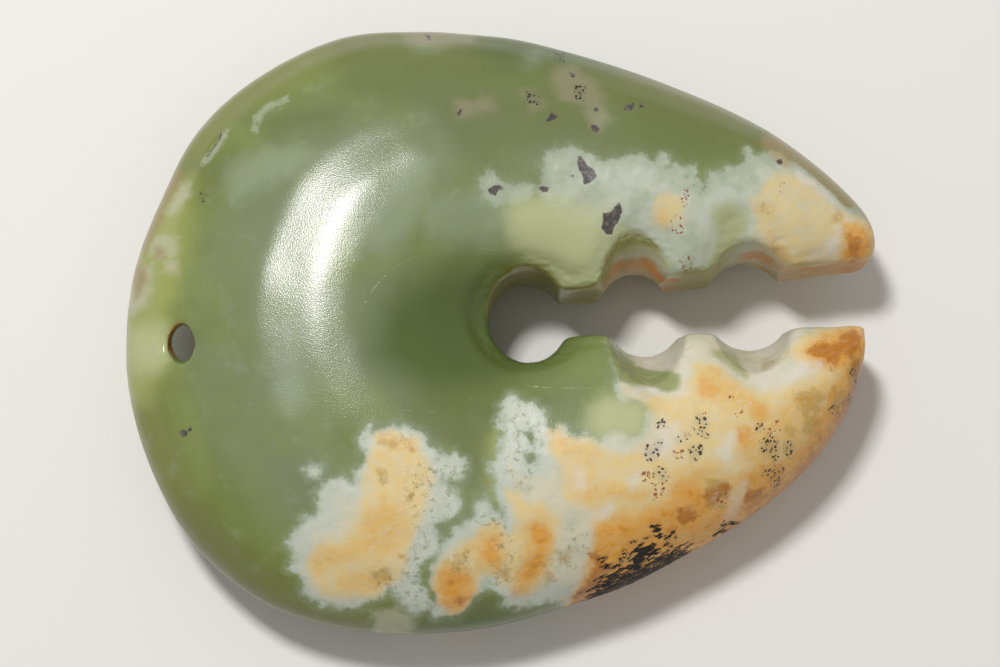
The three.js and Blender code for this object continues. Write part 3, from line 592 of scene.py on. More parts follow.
class JadeColours(bpy.types.PropertyGroup):
    """The colours of the fresh stone and of its weathering, and of the sheen, shade and light
    painted over them.
    """

    green: colour_property("Green", 0x7E8A50, "Fresh stone")
    deep_green: colour_property("Deep green", 0x737F46, "Darker clouds in the fresh stone")
    # Painted sheen: greyer colour laid on the crest of the dome, where the lamp's soft reflection
    # would grey it.
    crest_sheen: colour_property("Grey green", 0x778162, "Greyer clouds on the crest of the dome")
    # Painted shade: darker green towards the outer edge, where the edge falls into shade.
    rim_shade: colour_property("Rim green", 0x72782A, "Fresh stone near the outer edge")
    # Partly painted shade: this darkest green also darkens the rims where they fall into shade,
    # besides colouring the green threads.
    moss_and_shade: colour_property("Moss", 0x676E40, "Darkest fresh stone")
    # Partly painted shade: this darker green stands for the shade along the top and bottom rims
    # and in the hollow round the hole, with the stone's deeper green there.
    dish_and_shade: colour_property("Dish green", 0x536131, "Fresh stone in the dish round the hole")
    mist: colour_property("Mist", 0xA2AD98, "Faint veils in the fresh stone")
    lime: colour_property("Lime", 0x9DA35C, "Yellower stone of the back rim")
    haze: colour_property("Haze", 0xB3B888, "Pale stone under the weathering")
    blush: colour_property("Blush", 0x9B9079, "Warm grey marks near the upper edge")
    rind: colour_property("Rind", 0xB8B79B, "White clouds of the back rim")
    bark: colour_property("Bark", 0x937E4E, "Brown skin of the back rim")
    scuff: colour_property("Scuff", 0xBCC2B0, "Pale streaks in the fresh stone")
    veil: colour_property("Veil", 0xA6B09A, "Outer fringe of a weathered patch")
    chalk: colour_property("Chalk", 0xC4C8B8, "White of a weathered patch")
    bone: colour_property("Bone", 0xD0C9AE, "Deeper in a weathered patch")
    cream: colour_property("Cream", 0xDEC386, "Pale stained stone")
    ochre: colour_property("Ochre", 0xD9B064, "Stained stone")
    amber: colour_property("Amber", 0xDB962A, "Well stained stone")
    tan: colour_property("Tan", 0xAC8E58, "Brown stains of the upper tip")
    khaki: colour_property("Khaki", 0xAC8A44, "Brown spots in the stained stone")
    bleach: colour_property("Bleach", 0xD8D1C2, "White over the stains")
    rust: colour_property("Rust", 0xA86214, "Strongly stained stone")
    umber: colour_property("Umber", 0xD0873A, "Brown bands in the slot's wall, and the bore")
    olive: colour_property("Olive", 0xA3A670, "Pale olive stone of the teeth")
    # Partly painted light: the upper wall lies in shade, and this olive is lighter than the wall's
    # own stain to make up for it.
    wall_olive_and_light: colour_property("Wall olive", 0xA39A3C, "Stained green of the slot's upper wall")
    crust: colour_property("Crust", 0x120B06, "Black crust")
    stain: colour_property("Stain", 0x463C40, "Purple marks")
    slate: colour_property("Slate", 0x6F6A60, "Grey marks")
    red: colour_property("Red", 0x8E3B22, "Red specks")


class StageSettings(bpy.types.PropertyGroup):
    """The floor, the camera and the light."""

    floor: colour_property("Floor", 0xE6E4DF, "Colour of the floor")
    distance: length_property("Camera distance", 0.26, "From the stone to the camera")
    elevation: bpy.props.FloatProperty(
        name="Camera elevation",
        description="Angle above the horizon",
        default=math.radians(80),
        subtype="ANGLE",
        unit="ROTATION",
    )
    lens: bpy.props.FloatProperty(
        name="Lens",
        description="Focal length, for a sensor 36 mm wide",
        default=85.1,
        min=1,
        unit="CAMERA",
    )
    key_power: bpy.props.FloatProperty(
        name="Key lamp",
        description="Power of the soft lamp",
        default=1.38,
        min=0,
        unit="POWER",
    )
    fill: bpy.props.FloatProperty(
        name="Fill",
        description="Brightness of the room",
        default=0.39,
        min=0,
        subtype="FACTOR",
    )


def choose(piece):
    """Selects one object, and nothing else."""
    bpy.ops.object.select_all(action="DESELECT")
    piece.select_set(True)
    bpy.context.view_layer.objects.active = piece


def finish_modifier(piece, kind, **settings):
    """Adds a modifier and applies it."""
    modifier = piece.modifiers.new(kind.lower(), kind)
    for name, value in settings.items():
        setattr(modifier, name, value)
    bpy.ops.object.modifier_apply(modifier=modifier.name)


def places_of(piece):
    """The piece's vertices, in millimetres."""
    flat = np.zeros(len(piece.data.vertices) * 3)
    piece.data.vertices.foreach_get("co", flat)
    return flat.reshape(-1, 3) / MM


def normals_of(piece):
    """The directions that the piece's vertices face."""
    flat = np.zeros(len(piece.data.vertices) * 3)
    piece.data.vertices.foreach_get("normal", flat)
    return flat.reshape(-1, 3)


def move_to(piece, places):
    """Moves the piece's vertices to these places, in millimetres."""
    piece.data.vertices.foreach_set("co", (places * MM).ravel())
    piece.data.update()


def weigh(piece, name, weights):
    """A vertex group with these weights, for the modifiers that work only there."""
    group = piece.vertex_groups.get(name) or piece.vertex_groups.new(name=name)
    steps = np.round(np.clip(weights, 0, 1) * WEIGHT_STEPS).astype(int)
    for step in np.unique(steps):
        members = np.nonzero(steps == step)[0].tolist()
        group.add(members, float(step) / WEIGHT_STEPS, "REPLACE")


def ramp(values, low, high):
    """0 at low, 1 at high, and smooth between."""
    share = np.clip((values - low) / (high - low), 0, 1)
    return share * share * (3 - 2 * share)


def slot_places(places):
    """Distance along the slot from the hole, and across it from its middle."""
    x, y = places[:, 0] - HOLE[0], places[:, 1] - HOLE[1]
    cos, sin = math.cos(SLOT_TURN), math.sin(SLOT_TURN)
    return x * cos + y * sin, y * cos - x * sin


def jaw_distance(places):
    """Distance in plan from the hole, the slot and its notches, below 0 inside them."""
    along, across = slot_places(places)
    hole = np.hypot(along, across) - HOLE_RADIUS
    slot = np.where(along > 0, np.abs(across) - SLOT_HALF_WIDTH, PATCH_REACH)
    notches = [
        (np.hypot((along - a) / half, (across - b) / reach) - 1) * half
        for a, b, half, reach in NOTCHES
    ]
    return np.min([hole, slot, *notches], axis=0)


def bore_distance(places):
    """Distance in plan from the bore, below 0 inside it."""
    return np.hypot(places[:, 0] - BORE[0], places[:, 1] - BORE[1]) - BORE_RADIUS


def cut_distance(places):
    """Distance in plan from the nearest cut, the bore too, below 0 inside it."""
    return np.minimum(jaw_distance(places), bore_distance(places))


def level(places, levels):
    """0 below the first of these levels, and 1 above the second."""
    return ramp(places[:, 2], *levels)


def inside_distance(places, outline):
    """Distance in plan from an outline, above 0 inside it."""
    corners = np.array(outline).reshape(-1, 2) / 10
    result = np.full(len(places), -PATCH_REACH)
    low, high = corners.min(axis=0) - PATCH_REACH, corners.max(axis=0) + PATCH_REACH
    near = np.all((places[:, :2] > low) & (places[:, :2] < high), axis=1)
    x, y = places[near, 0], places[near, 1]
    closest = np.full(len(x), PATCH_REACH)
    inside = np.zeros(len(x), bool)
    for (ax, ay), (bx, by) in zip(corners, np.roll(corners, -1, axis=0)):
        dx, dy = bx - ax, by - ay
        share = np.clip(((x - ax) * dx + (y - ay) * dy) / (dx * dx + dy * dy + 1e-9), 0, 1)
        closest = np.minimum(closest, np.hypot(x - ax - share * dx, y - ay - share * dy))
        if ay != by:
            crosses = (ay > y) != (by > y)
            inside ^= crosses & (x < ax + (y - ay) * dx / dy)
    result[near] = np.where(inside, closest, -closest)
    return result


def patch_distance(places, name):
    """Distance in plan from the nearest of the outlines with that name."""
    return np.max([inside_distance(places, outline) for outline in OUTLINES[name]], axis=0)


def pattern_places(places, normals):
    """Where each vertex reads the outlines: as drawn on the front, and wandering on the back."""
    wander = WANDER * ramp(normals[:, 2], *BACK)
    noise.seed_set(WANDER_SEED)
    drift = np.array([noise.noise_vector(Vector(p) / WANDER_SIZE) for p in places])
    return places + drift * wander[:, None]


def fill_undercut(stone):
    """Closes the undercut beside the bore with an egg of stone, which the new skin takes in."""
    middle, half_sizes = FILLING
    bpy.ops.mesh.primitive_uv_sphere_add(
        radius=MM, location=[length * MM for length in middle], scale=half_sizes
    )
    stone.select_set(True)
    bpy.context.view_layer.objects.active = stone
    bpy.ops.object.join()


def ease_faces(stone, rounds):
    """Eases the facets out of the ground faces without drawing their curves in."""
    weigh(stone, "faces", ramp(cut_distance(places_of(stone)), *EASED))
    settings = {"factor": 0.5, "iterations": rounds, "vertex_group": "faces"}
    finish_modifier(stone, "SMOOTH", **settings)
    once = places_of(stone)
    finish_modifier(stone, "SMOOTH", **settings)
    move_to(stone, 2 * once - places_of(stone))


def flare_front(stone, depth, rounds):
    """Sinks the front towards the hole and the slot, and rounds the cuts' front edges."""
    places = places_of(stone)
    near = ramp(jaw_distance(places), *SUNK) * level(places, SUNK_LEVELS)
    brow = ramp(np.abs(cut_distance(places)), *BROW) * level(places, BROW_LEVELS)
    move_to(stone, places - near[:, None] * (0, 0, depth / MM))
    weigh(stone, "brow", brow)
    finish_modifier(stone, "SMOOTH", factor=0.5, iterations=rounds, vertex_group="brow")


def narrow_bore(stone):
    """Brings the bore's wall back in by what the easing took off it."""
    places, normals = places_of(stone), normals_of(stone)
    wall = ramp(bore_distance(places), *BORE_WALL) * ramp(np.abs(normals[:, 2]), 0.85, 0.4)
    move_to(stone, places + normals * (BORE_LOSS * wall)[:, None])


def cloud(name, size, depth=3):
    """A texture for the modifiers that press the skin in."""
    texture = bpy.data.textures.new(name, "CLOUDS")
    texture.noise_scale = size
    texture.noise_depth = depth
    return texture


def press(stone, name, weights, depth, texture):
    """Presses the skin in by a texture, where the weights say."""
    weigh(stone, name, weights)
    finish_modifier(
        stone,
        "DISPLACE",
        texture=texture,
        texture_coords="LOCAL",
        vertex_group=name,
        direction="NORMAL",
        strength=depth,
        mid_level=1.0,
    )


def knock(stone):
    """Sinks the single knocks on the front."""
    places, normals = places_of(stone), normals_of(stone)
    front = ramp(normals[:, 2], *FRONT)
    for x, y, length, breadth, turn, depth in KNOCKS:
        angle = math.radians(turn)
        dx, dy = places[:, 0] - x, places[:, 1] - y
        along = (dx * math.cos(angle) + dy * math.sin(angle)) / length
        across = (dy * math.cos(angle) - dx * math.sin(angle)) / breadth
        share = np.clip(1 - along**2 - across**2, 0, 1)
        places = places - normals * (front * depth * share)[:, None]
    move_to(stone, places)


def wear_skin(stone, sizes):
    """Presses the grinding, the chips, the pits and the knocks into the skin."""
    places, normals = places_of(stone), normals_of(stone)
    everywhere = np.ones(len(places))
    press(stone, "ripple", everywhere, sizes.ripple, cloud("grinding", 9 * MM, 1))
    edge = ramp(np.abs(cut_distance(places)), *CHIPPED) * level(places, CHIPPED_LEVELS)
    press(stone, "edges", edge, sizes.chips, cloud("chipping", 0.6 * MM))
    crust = ramp(patch_distance(places, "crust"), -0.6, 0.6) * ramp(normals[:, 2], -0.2, 0.1)
    press(stone, "crust", crust, sizes.crust, cloud("crust", 0.6 * MM))
    weathered = ramp(patch_distance(places, "chalk"), -0.3, 0.6)
    press(stone, "weathered", weathered, sizes.pits, cloud("pits", 0.9 * MM))
    knock(stone)


def thin_underside(stone, kept):
    """Joins faces on the underside until this share of all faces is left."""
    weigh(stone, "under", ramp(normals_of(stone)[:, 2], *UNDERSIDE))
    finish_modifier(stone, "DECIMATE", ratio=kept, vertex_group="under")


def outer_edge(places):
    """The stone's farthest points in plan, one in each sector."""
    angles = np.arctan2(places[:, 1], places[:, 0])
    reach = np.hypot(places[:, 0], places[:, 1])
    sectors = ((angles + math.pi) / (2 * math.pi) * EDGE_SECTORS).astype(int) % EDGE_SECTORS
    edge = []
    for sector in range(EDGE_SECTORS):
        members = np.nonzero(sectors == sector)[0]
        if len(members):
            edge.append(places[members[np.argmax(reach[members])], :2])
    return edge


def rim_distance(places):
    """Distance in plan from the outer edge."""
    nearest = np.full(len(places), np.inf)
    for x, y in outer_edge(places):
        nearest = np.minimum(nearest, np.hypot(places[:, 0] - x, places[:, 1] - y))
    return nearest


def write_fields(stone):
    """Leaves at each vertex how far it is inside each patch, and where it lies on the stone."""
    places, normals = places_of(stone), normals_of(stone)
    seen = pattern_places(places, normals)
    fields = {name: patch_distance(seen, name) for name in OUTLINES}
    fields["chalk"] = np.minimum(fields["chalk"], -fields.pop("gap"))
    under = ramp(normals[:, 2], *BELOW)
    for name in FRONT_FIELDS:
        fields[name] = fields[name] - UNDER_LOSS * under
    along, across = slot_places(places)
    in_slot = (along > -HOLE_RADIUS) & (np.abs(across) < WALL_REACH)
    fields["wall"] = np.where(in_slot, ramp(normals[:, 2], *WALLS), 0)
    fields["upper_wall"] = fields["wall"] * ramp(across, -1, 1) * ramp(along, 26, 18)
    inside_bore = ramp(bore_distance(places), 0.1, -0.3)
    back_half = ramp(places[:, 0] - BORE[0], 0.6, -1.2)
    fields["bore"] = inside_bore * ramp(normals[:, 2], 0.85, 0.5) * back_half
    fields["facing"] = normals[:, 2]
    fields["height"] = places[:, 2]
    fields["rim"] = rim_distance(places)
    for name, values in fields.items():
        attribute = stone.data.attributes.new(name, "FLOAT", "POINT")
        attribute.data.foreach_set("value", values.astype(np.float32))


class Bench:
    """Lays out the nodes of one tree and joins them."""

    def __init__(self, tree):
        self.tree = tree

    def node(self, kind, inputs=None, **settings):
        """A node with these inputs, each a value or another node's socket."""
        made = self.tree.nodes.new(kind)
        for name, value in settings.items():
            setattr(made, name, value)
        for socket, value in (inputs or {}).items():
            self.feed(made.inputs[socket], value)
        return made

    def feed(self, socket, value):
        """Joins or sets one socket."""
        if isinstance(value, bpy.types.NodeSocket):
            self.tree.links.new(value, socket)
        else:
            socket.default_value = value

    def math(self, operation, *values):
        """A sum of numbers."""
        made = self.node("ShaderNodeMath", dict(enumerate(values)), operation=operation)
        return made.outputs[0]

    def times(self, *values):
        """The product of all these numbers."""
        product = values[0]
        for value in values[1:]:
            product = self.math("MULTIPLY", product, value)
        return product

    def vector(self, operation, first, second=(0.0, 0.0, 0.0)):
        """A sum of vectors, or of one vector and a number."""
        inputs = {0: first, ("Scale" if operation == "SCALE" else 1): second}
        made = self.node("ShaderNodeVectorMath", inputs, operation=operation)
        single = operation in ("LENGTH", "DISTANCE", "DOT_PRODUCT")
        return made.outputs["Value" if single else "Vector"]

    def ramp(self, value, low, high, to_low=0.0, to_high=1.0):
        """One number at low, another at high, and smooth between."""
        inputs = {
            "Value": value,
            "From Min": low,
            "From Max": high,
            "To Min": to_low,
            "To Max": to_high,
        }
        made = self.node("ShaderNodeMapRange", inputs, interpolation_type="SMOOTHSTEP")
        return made.outputs[0]

    def mix(self, share, below, above):
        """One colour over another."""
        inputs = {0: share, 6: below, 7: above}
        made = self.node("ShaderNodeMix", inputs, data_type="RGBA")
        return made.outputs[2]

    def lerp(self, share, below, above):
        """From one number to another."""
        made = self.node("ShaderNodeMix", {0: share, 2: below, 3: above}, data_type="FLOAT")
        return made.outputs[0]

    def noise(self, places, size, detail=3.0, roughness=0.55):
        """Noise from 0 to 1, with features of that size."""
        scaled = self.vector("SCALE", places, self.math("DIVIDE", 1.0, size))
        inputs = {"Vector": scaled, "Scale": 1.0, "Detail": detail, "Roughness": roughness}
        return self.node("ShaderNodeTexNoise", inputs).outputs[0]

    def patchy(self, places, size, low, high, detail=3.0, roughness=0.55):
        """Noise as a mask: 0 where it is under low, and 1 where it is over high."""
        return self.ramp(self.noise(places, size, detail, roughness), low, high)

    def field(self, name):
        """What write_fields left on the mesh under that name."""
        return self.node("ShaderNodeAttribute", attribute_name=name).outputs["Fac"]

    def group(self, tree, inputs):
        """The outputs of a node group with these inputs."""
        return self.node("ShaderNodeGroup", inputs, node_tree=tree).outputs


def new_group(name, inputs, outputs):
    """An empty node group with named inputs and outputs."""
    tree = bpy.data.node_groups.new(name, "ShaderNodeTree")
    for label, value in inputs.items():
        kind = "NodeSocketVector" if value is None else "NodeSocketFloat"
        socket = tree.interface.new_socket(label, in_out="INPUT", socket_type=kind)
        if value is not None:
            socket.default_value = value
    for label in outputs:
        tree.interface.new_socket(label, in_out="OUTPUT", socket_type="NodeSocketFloat")
    entry = tree.nodes.new("NodeGroupInput").outputs
    result = tree.nodes.new("NodeGroupOutput").inputs
    return tree, Bench(tree), entry, result


def ragged_edge_group():
    """The feathered edge of a patch, from a field that is above 0 inside it."""
    inputs = {"Places": None, "Field": 0.0, "Seed": 0.0}
    inputs |= {"Reach": 1.0, "Lobe": 2.0, "Softness": 0.1}
    tree, bench, entry, result = new_group("Ragged edge", inputs, ["Mask", "Depth"])
    moved = bench.vector("ADD", entry["Places"], entry["Seed"])
    lobes = bench.noise(moved, entry["Lobe"], 7.0, 0.66)
    swing = bench.times(bench.math("SUBTRACT", lobes, 0.5), entry["Reach"])
    depth = bench.math("MULTIPLY_ADD", swing, 4.0, entry["Field"])
    mask = bench.ramp(depth, bench.times(entry["Softness"], -1.0), entry["Softness"])
    bench.feed(result["Mask"], mask)
    bench.feed(result["Depth"], depth)
    return tree


def specks_group():
    """Small dots, crowded where the field is above 0."""
    inputs = {"Places": None, "Field": 0.0, "Seed": 0.0}
    inputs |= {"Spacing": 0.7, "Dot": 0.3, "Crowding": 0.6}
    tree, bench, entry, result = new_group("Specks", inputs, ["Mask"])
    moved = bench.vector("ADD", entry["Places"], entry["Seed"])
    shaken = bench.node("ShaderNodeTexNoise", {"Vector": moved, "Scale": 2.5, "Detail": 2.0})
    shake = bench.vector("SCALE", shaken.outputs["Color"], 0.5)
    fine = bench.math("DIVIDE", 1.0, entry["Spacing"])
    cells = bench.vector("SCALE", bench.vector("ADD", moved, shake), fine)
    voronoi = bench.node("ShaderNodeTexVoronoi", {"Vector": cells, "Scale": 1.0})
    draws = bench.node("ShaderNodeSeparateColor", {0: voronoi.outputs["Color"]}).outputs
    least = bench.times(entry["Dot"], 0.6)
    size = bench.math("MULTIPLY_ADD", draws[0], least, least)
    dot = bench.ramp(bench.math("SUBTRACT", size, voronoi.outputs["Distance"]), -0.04, 0.1)
    crowd = bench.times(bench.ramp(entry["Field"], -0.3, 0.1), entry["Crowding"])
    chosen = bench.math("LESS_THAN", draws[1], crowd)
    bench.feed(result["Mask"], bench.times(dot, chosen))
    return tree


def arc_scratch_group():
    """One fine arc, broken along its length."""
    inputs = {"Places": None, "Centre": None, "Middle": None}
    inputs |= {"Radius": 10.0, "Half length": 3.0, "Width": 0.06}
    tree, bench, entry, result = new_group("Arc scratch", inputs, ["Mask"])
    flat = bench.vector("MULTIPLY", entry["Places"], (1.0, 1.0, 0.0))
    from_centre = bench.vector("LENGTH", bench.vector("SUBTRACT", flat, entry["Centre"]))
    off = bench.math("ABSOLUTE", bench.math("SUBTRACT", from_centre, entry["Radius"]))
    line = bench.ramp(off, entry["Width"], 0.0)
    from_middle = bench.vector("LENGTH", bench.vector("SUBTRACT", flat, entry["Middle"]))
    full = bench.times(entry["Half length"], 0.6)
    ends = bench.ramp(from_middle, entry["Half length"], full)
    gaps = bench.patchy(entry["Places"], 0.8, 0.4, 0.55)
    bench.feed(result["Mask"], bench.times(line, ends, gaps))
    return tree


def jade_finish(colours):
    """The stone's material: fresh green with painted sheen and shade, its weathering in layers,
    and its polish.
    """
    material = bpy.data.materials.new("weathered_jade")
    material.use_nodes = True
    material.node_tree.nodes.clear()
    bench = Bench(material.node_tree)
    ragged, specks, scratch = ragged_edge_group(), specks_group(), arc_scratch_group()
    coordinates = bench.node("ShaderNodeTexCoord").outputs["Object"]
    places = bench.vector("SCALE", coordinates, 1 / MM)

    times = bench.times

    def shade(name):
        return (*getattr(colours, name), 1.0)

    def coat(name, *shares):
        """That shade over the colour so far, by the product of these shares."""
        return bench.mix(times(*shares), colour, shade(name))

    def edge(name, reach, lobe, softness, seed):
        """The ragged edge of a field."""
        inputs = {"Places": places, "Field": bench.field(name), "Seed": seed}
        inputs |= {"Reach": reach, "Lobe": lobe, "Softness": softness}
        return bench.group(ragged, inputs)

    def dots(name, crowding, seed):
        """Specks where a field is above 0."""
        inputs = {"Places": places, "Field": bench.field(name), "Seed": seed}
        inputs |= {"Spacing": 0.4, "Dot": 0.44, "Crowding": crowding}
        return bench.group(specks, inputs)["Mask"]

    # Fresh stone, with painted sheen on its crest and painted shade towards the outer edge, along
    # the rims and in the hollow round the hole.
    clouds = bench.patchy(places, 9.0, 0.36, 0.64, 4.0)
    colour = bench.mix(clouds, shade("green"), shade("deep_green"))
    # Painted sheen: the crest of the dome, found by height, is greyed in clouds to stand in for
    # the lamp's soft reflection there.
    crest = bench.ramp(bench.field("height"), 15.5, 19.5)
    greys = bench.patchy(places, 14.0, 0.3, 0.6, 5.0, 0.6)
    colour = coat("crest_sheen", crest, greys, 0.9)
    # Painted shade: darker green laid on within 7.5 mm of the outer edge, to stand in for the
    # shade there.
    rim = bench.ramp(bench.field("rim"), 7.5, 0.5)
    colour = coat("rim_shade", rim, 0.8)
    wisps = bench.patchy(places, 3.0, 0.52, 0.74, 6.0, 0.64)
    colour = coat("mist", wisps, 0.2)
    for seed, (name, reach, lobe, softness, cover) in enumerate(FAINT_LAYERS):
        mask = edge(name, reach, lobe, softness, seed * SEED_STEP)["Mask"]
        colour = coat(name, mask, cover)

    # The white patches, and the stains in them.
    patch = edge("chalk", 0.6, 1.3, 0.3, 61.0)
    chalk, depth = patch["Mask"], patch["Depth"]
    axes = bench.node("ShaderNodeSeparateXYZ", {0: places}).outputs
    below = bench.ramp(axes["Y"], 5.0, -3.0)
    halo = bench.ramp(depth, -1.1, 0.3)
    colour = coat("veil", halo, bench.lerp(below, 0.2, 0.4))
    white = bench.ramp(depth, -0.2, bench.lerp(below, 2.0, 0.8))
    white = bench.mix(white, shade("veil"), shade("chalk"))
    above = bench.ramp(axes["X"], 3.0, 15.0, 0.55, 0.8)
    white = bench.mix(times(bench.ramp(depth, 1.0, 3.0), below), white, shade("bone"))
    mottle = bench.patchy(places, 2.2, 0.4, 0.68, 6.0, 0.6)
    white = bench.mix(times(mottle, bench.lerp(below, 0.75, 0.35)), white, shade("veil"))
    colour = bench.mix(times(chalk, bench.lerp(below, above, 1.0)), colour, white)
    for seed, (name, reach, lobe, softness, cover) in enumerate(STAIN_LAYERS):
        layer_seed = FIRST_STAIN_SEED + seed * SEED_STEP
        mask = edge(name, reach, lobe, softness, layer_seed)["Mask"]
        broken = bench.noise(places, 1.1 + 0.2 * seed, 5.0, 0.62)
        broken = bench.ramp(broken, 0.3, 0.62, 0.55, 1.0)
        share = bench.lerp(below, 0.8, 1.0) if name in BROAD_STAINS else 1.0
        colour = coat(name, mask, chalk, broken, cover, share)
    olive = edge("olive", 0.4, 1.6, bench.lerp(below, 0.9, 0.4), 43.0)["Mask"]
    inner = times(below, bench.ramp(axes["X"], 21.0, 18.0))
    facet = bench.mix(times(inner, 0.55), shade("olive"), shade("green"))
    colour = bench.mix(times(olive, bench.lerp(inner, 0.8, 0.93)), colour, facet)
    lobe = edge("haze", 0.6, 3.4, 2.2, 28.0)["Mask"]
    colour = coat("haze", lobe, 0.92)
    freckles = bench.patchy(places, 1.5, 0.54, 0.66, 6.0, 0.68)
    aged = bench.ramp(bench.field("amber"), -1.5, 1.5)
    colour = coat("rust", freckles, aged, 0.38)
    inputs = {"Vector": places, "Angle": -math.radians(DRAWN_TURN)}
    turned = bench.node("ShaderNodeVectorRotate", inputs).outputs[0]
    drawn = bench.vector("MULTIPLY", turned, (0.45, 1.0, 1.0))
    strands = bench.patchy(drawn, 0.7, 0.55, 0.68, 5.0, 0.66)
    colour = coat("rust", strands, aged, 0.22)
    stained = bench.ramp(bench.field("ochre"), -1.0, 1.0)
    flecks = bench.patchy(drawn, 0.5, 0.52, 0.66, 3.0, 0.7)
    colour = coat("bleach", flecks, stained, chalk, bench.lerp(aged, 0.28, 0.1))

    # Green threads that grow into the patches.
    threads = bench.patchy(places, 0.7, 0.51, 0.62, 6.0, 0.75)
    mossy = bench.ramp(bench.field("mossy"), -0.8, 0.8)
    colour = coat("moss_and_shade", threads, mossy, 0.55)

    # Bands in the slot's walls, and the olive of its upper wall, partly painted light: laid on
    # more strongly low down, where the wall lies in shade.
    height = bench.field("height")
    waver = bench.noise(bench.vector("MULTIPLY", places, (1.0, 1.0, 0.3)), 3.0, 4.0)
    layers = bench.math("MULTIPLY_ADD", waver, 5.0, height)
    bands = bench.ramp(bench.math("SINE", times(layers, 1.5)), -0.7, 0.9, 0.45, 1.0)
    shadowed = bench.ramp(height, 19.0, 14.5)
    banded = edge("tawny", 0.4, 1.6, 0.5, 31.0)["Mask"]
    between = bench.lerp(banded, 0.75, 0.1)
    # Painted light in part: the wall's stained olive, in a lightened colour, laid on more where
    # the wall lies low in shade.
    colour = coat("wall_olive_and_light", bench.field("upper_wall"), shadowed, between)
    banded = times(banded, bench.field("wall"))
    high = bench.ramp(layers, 14.0, 15.2)
    colour = coat("bone", banded, high, 0.75)
    tawny = times(banded, bands, bench.lerp(high, 1.0, 0.15))
    tawny = bench.math("MAXIMUM", tawny, bench.field("bore"))
    colour = coat("umber", tawny, 0.95)

    # Marks, crust and specks.
    stain = edge("stain", 0.12, 0.5, 0.08, 71.0)["Mask"]
    blotch = bench.patchy(places, 0.7, 0.45, 0.65, 4.0, 0.65)
    mark = bench.mix(blotch, shade("stain"), shade("slate"))
    colour = bench.mix(times(stain, 0.95), colour, mark)
    streaks = bench.noise(drawn, 0.55, 4.0, 0.6)
    crust_field = bench.math("MULTIPLY_ADD", bench.field("crust"), 0.22, streaks)
    facing = bench.field("facing")
    crust = times(bench.ramp(crust_field, 0.5, 0.56), bench.ramp(facing, -0.7, -0.2))
    seams = bench.ramp(bench.noise(drawn, 0.45, 3.0, 0.6), 0.54, 0.64, 1.0, 0.6)
    colour = coat("crust", crust, seams)
    colour = coat("stain", bench.ramp(bench.field("sooty"), -0.5, 0.5), 0.2)
    soot = dots("sooty", 1.0, 5.0)
    colour = coat("crust", soot, 0.9)
    blood = dots("bloody", 0.85, 17.0)
    colour = coat("red", blood, 0.85)

    # Scratches.
    scratches = 0.0
    for cx, cy, radius, mx, my, half_length in SCRATCHES:
        inputs = {
            "Places": places,
            "Centre": (cx, cy, 0.0),
            "Middle": (mx, my, 0.0),
            "Radius": radius,
            "Half length": half_length,
        }
        scratches = bench.math("MAXIMUM", scratches, bench.group(scratch, inputs)["Mask"])
    scratches = times(scratches, bench.ramp(facing, -0.2, 0.3))
    colour = coat("haze", scratches, 0.35)

    # Polish and relief, with heights in millimetres.
    rough = bench.lerp(chalk, 0.21, 0.34)
    rough = bench.lerp(crust, rough, 0.65)
    grain = bench.noise(places, 0.13, 1.0, 0.5)
    pits = bench.patchy(places, 0.6, 0.58, 0.7, 4.0, 0.6)
    relief = times(grain, 0.013)
    relief = bench.math("MULTIPLY_ADD", times(pits, chalk), -0.014, relief)
    relief = bench.math("MULTIPLY_ADD", scratches, -0.02, relief)
    relief = bench.math("MULTIPLY_ADD", soot, -0.03, relief)
    crags = bench.noise(places, 0.5, 5.0, 0.65)
    relief = bench.math("MULTIPLY_ADD", times(crags, crust), 0.12, relief)
    bump = bench.node("ShaderNodeBump", {"Height": relief, "Distance": MM, "Strength": 1.0})

    surface = bench.node(
        "ShaderNodeBsdfPrincipled",
        {
            "Base Color": colour,
            "Roughness": rough,
            "Normal": bump.outputs[0],
            "Specular IOR Level": 0.42,
        },
    )
    output = bench.node("ShaderNodeOutputMaterial")
    bench.feed(output.inputs["Surface"], surface.outputs[0])
    return material


class PENDANT_OT_stone(bpy.types.Operator):
    """Make the carved stone from its solid, work its skin and give it its finish"""

    bl_idname = "pendant.make_stone"
    bl_label = "Make the stone"

    def execute(self, context):
        sizes = context.scene.carving_sizes
        choose(frame["nodes"][SOLID])
        bpy.ops.object.duplicate()
        stone = context.view_layer.objects.active
        stone.name = stone.data.name = "carved_stone"
        del stone["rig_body"]
        del stone["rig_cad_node"]
        bpy.ops.object.parent_clear(type="CLEAR_KEEP_TRANSFORM")
        choose(stone)
        bpy.ops.object.mode_set(mode="EDIT")
        bpy.ops.mesh.select_all(action="SELECT")
        bpy.ops.mesh.remove_doubles(threshold=0.001 * MM)
        bpy.ops.object.mode_set(mode="OBJECT")
        fill_undercut(stone)
        finish_modifier(stone, "REMESH", mode="VOXEL", voxel_size=sizes.grid)
        ease_faces(stone, sizes.face_rounds)
        finish_modifier(stone, "SMOOTH", factor=0.5, iterations=sizes.edge_rounds)
        flare_front(stone, sizes.flare, sizes.brow_rounds)
        narrow_bore(stone)
        wear_skin(stone, sizes)
        thin_underside(stone, sizes.kept)
        low, high = (np.array(corner) / MM for corner in CAD_BOX)
        move_to(stone, np.clip(places_of(stone), low, high))

        stone.vertex_groups.clear()
        write_fields(stone)
        choose(stone)
        bpy.ops.object.shade_smooth()
        stone.data.materials.clear()
        stone.data.materials.append(jade_finish(context.scene.jade_colours))
        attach(stone, "root")
        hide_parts(SOLID)
        return {"FINISHED"}


